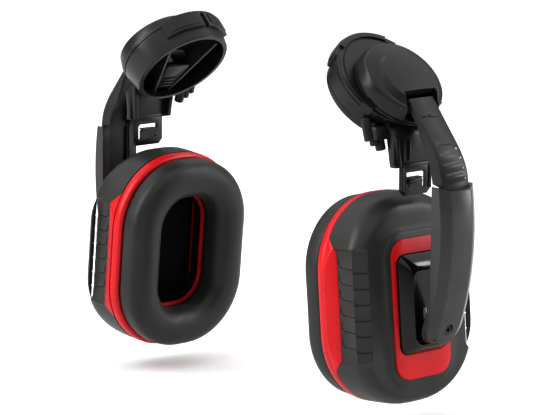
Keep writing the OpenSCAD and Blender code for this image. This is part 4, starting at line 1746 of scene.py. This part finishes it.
        slot = [block((x - 3, x + 3), (-reach, reach - 1), (top - leg, top)),
                block((x - 3, x + 3), (reach - leg, reach), (-self.blade_len + 4, top - 1)),
                drill(1.9, reach - 1.9, top - 1.9, 24),
                drill(leg / 2, reach - leg / 2, -self.blade_len + 4, 24),
                drill(0.6, -half + 5, -self.blade_len + 4.6, 20)]
        for tool in slot:
            bm = carved(bm, tool)
        extras = []
        for sign in (-1, 1):
            y = sorted((sign * half, sign * (half - 1.5)))
            rim = block((x, x + t + 0.6), (y[0], y[1]), (-self.blade_len + corner, 1))
            soften(rim, 0.3)
            extras.append(rim)
        tongue = block(
            (x + 0.4, x + t + 0.9), (-reach + 0.6, reach - leg - 0.6),
            (-self.blade_len + 5.4, top - leg - 1.0)
        )
        soften(tongue, 0.5)
        extras.append(tongue)
        for i in range(2):
            z = -self.blade_len + 6.6 + 1.6 * i
            bar = block((x + t + 0.7, x + t + 1.15), (-reach + 1.0, reach - leg - 1.0), (z, z + 0.7))
            extras.append(bar)
        return joined([bm] + extras)

    def carrier(self) -> BMesh:
        """Makes the stiff carrier between hoop and blade: rails, plate, rib, neck and feet.

        Returns:
            The solid, as a closed mesh.
        """
        x = self.blade_x
        near, far = self.carrier_y
        parts = []
        plate = prism(
            [
                Vector((x - 1.4, near, 0)), Vector((x + 1.6, near, 0)), Vector((x + 1.6, near, 14.5)),
                Vector((x - 1.4, near, 18.5))
            ],
            Vector((0, far - near, 0))
        )
        soften(plate, 0.35)
        parts.append(plate)
        sill = block((x - 1.6, x + 2.4), (near + 0.4, far - 0.4), (-0.9, 0.6))
        soften(sill, 0.35)
        parts.append(sill)
        for side, slant in ((near, 2.6), (far, -1.4)):
            inward = 2.2 if side < 0 else -2.2
            foot, head = side + slant, side
            rail = hull(
                [
                    Vector((a, b + c, z)) for a, b,
                    z in (
                        (x - 4.0, foot, -0.5), (x + 2.6, foot, -0.5), (x + 2.8, head, 13.5),
                        (x - 5.2, head, 21.5)
                    ) for c in (0.0, inward)
                ]
            )
            soften(rail, 0.4)
            parts.append(rail)
        for y0, z1 in ((-6.5, 12.0), (-10.4, 13.0)):
            rib = block((x + 1.5, x + 2.4), (y0, y0 + 1.4), (2, z1))
            soften(rib, 0.35)
            parts.append(rib)
        for i in range(3):
            start = Vector((x - 6.2 - 1.2 * i, near - 1.0 - 2.7 * i, 7.0 + 2.4 * i))
            foot = rod(self.foot_r, start, start + Vector((-3.2, 0, 11)), segments=24)
            soften(foot, 0.9, 3, 50)
            parts.append(foot)
        bridge = block((x - 10.5, x - 4.0), (near - 6.5, near + 2.0), (12.5, 19.0))
        soften(bridge, 0.7)
        parts.append(bridge)
        return joined(parts)


# ------------------------------------------------------------------ CAD nodes that stay


CARRIED: dict[str, Finish] = {
    "cap_screws": STEEL, "hub_washer": STEEL, "hub_screw": STEEL, "detent_spring": STEEL,
    "hinge_pin": STEEL, "arm_spring": STEEL, "catch_spring": STEEL, "pivot_carrier": BLACK_PLASTIC,
    "arm_screw": BLACK_PLASTIC, "tilt_pin": STEEL, "swivel_yoke": BLACK_PLASTIC, "swivel_pin": STEEL,
    "seat_screws": STEEL, "foam_liner": FOAM, "cushion_plate": BLACK_PLASTIC,
}


def dress_nodes(frame: dict, side: Side) -> None:
    """Gives every CAD node that stays in view its finish.

    Args:
        side: The unit whose nodes are dressed.
    """
    for name, finish in CARRIED.items():
        node = frame["nodes"][f"{side.value}_{name}"]
        node.data.materials.clear()
        node.data.materials.append(finish.material())
        log.info("%s: carried over in %s", node.name, finish.name)


# ------------------------------------------------------------------ studio


@dataclass
class Studio:
    """Camera, pale floor and soft lights round the pair."""

    azimuth: float = 47.6
    elevation: float = 11.47
    roll: float = 0.45
    distance: float = 1.47
    aim: Vector = field(default_factory=lambda: Vector((0, 0, -0.0703)))
    lens: float = 186.6
    sensor: float = 36.0
    tilt_up: float = 1.327
    pan: float = 0.068
    sky: float = 0.42
    gamma: float = 0.76
    floor_gap: float = 0.012

    def add_camera(self) -> None:
        """Sets the camera at its angle, aimed a little above the cups."""
        back = toward(self.azimuth, self.elevation)
        data = bpy.data.cameras.new("camera")
        data.lens = self.lens
        data.sensor_width = self.sensor
        data.clip_end = 50.0
        camera = put_in_scene("camera", data)
        nudge = Matrix.Rotation(math.radians(self.tilt_up), 4, "X") @ leaned(self.pan)
        camera.matrix_world = (Matrix.Translation(self.aim + back * self.distance) @ facing(back)
                               @ Matrix.Rotation(math.radians(self.roll), 4, "Z") @ nudge)
        bpy.context.scene.camera = camera

    def add_light(
        self, name: str, azimuth: float, elevation: float, away: float, size: tuple[float, float],
        watts: float
    ) -> None:
        """Hangs a soft box round the pair.

        Args:
            name: Its name.
            azimuth: Direction it shines from, in degrees, as the camera's.
            elevation: Its height above the horizon, in degrees.
            away: Distance in metres.
            size: Width and height in metres.
            watts: Its power.
        """
        back = toward(azimuth, elevation)
        data = bpy.data.lights.new(name, "AREA")
        data.shape = "RECTANGLE"
        data.size, data.size_y = size
        data.energy = watts
        light = put_in_scene(name, data)
        light.matrix_world = Matrix.Translation(self.aim + back * away) @ facing(back)

    @staticmethod
    def add_world(strength: float) -> None:
        """Lights the scene evenly from all round.

        Args:
            strength: Brightness of the sky.
        """
        world = bpy.data.worlds.new("studio")
        world.use_nodes = True
        sky = world.node_tree.nodes["Background"]
        sky.inputs["Color"].default_value = (1.0, 1.0, 1.0, 1.0)
        sky.inputs["Strength"].default_value = strength
        bpy.context.scene.world = world

    @staticmethod
    def add_floor(height: float) -> None:
        """Lays the pale floor just under the cups.

        Args:
            height: Height of the floor.
        """
        bm = bmesh.new()
        bmesh.ops.create_grid(bm, x_segments=8, y_segments=8, size=6.0)
        bmesh.ops.translate(bm, vec=(0, 0, height), verts=bm.verts[:])
        floor = put_in_scene("floor", mesh_of(bm, "floor"))
        bm.free()
        finish = Finish(
            "pale_floor", (0.86, 0.86, 0.86), 0.7, grain_size=2.0, cloud_size=400.0, colour_swing=0.01
        )
        floor.data.materials.append(finish.material())
        floor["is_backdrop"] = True

    def build(self) -> None:
        """Sets up everything round the pair."""
        self.add_camera()
        self.add_world(self.sky)
        self.add_light("overhead", self.azimuth, elevation=88, away=2.6, size=(8.0, 8.0), watts=250.0)
        self.add_light("key", self.azimuth - 75, elevation=32, away=1.5, size=(0.5, 1.3), watts=19.0)
        self.add_light("rim", self.azimuth + 95, elevation=20, away=1.6, size=(0.35, 1.2), watts=15.0)
        scene = bpy.context.scene
        scene.view_settings.view_transform = "Standard"
        scene.view_settings.gamma = self.gamma


# ------------------------------------------------------------------ all of it


def main() -> None:
    """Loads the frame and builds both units."""
    logging.basicConfig(level=logging.INFO, format="%(name)s: %(message)s")
    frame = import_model()
    cad_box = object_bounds()
    studio = Studio()
    studio.build()
    for side in Side:
        bench = Bench(side)
        EarCup(bench).build()
        arms = Arms(bench)
        arms.build()
        turret = Turret(bench)
        turret.build()
        arms.knuckle(turret.place, turret.hinge_h, turret.hinge_off)
        HelmetClip(bench, turret).build()
        dress_nodes(frame, side)
    studio.add_floor(cad_box[0].z - studio.floor_gap)


if __name__ == "__main__":
    main()
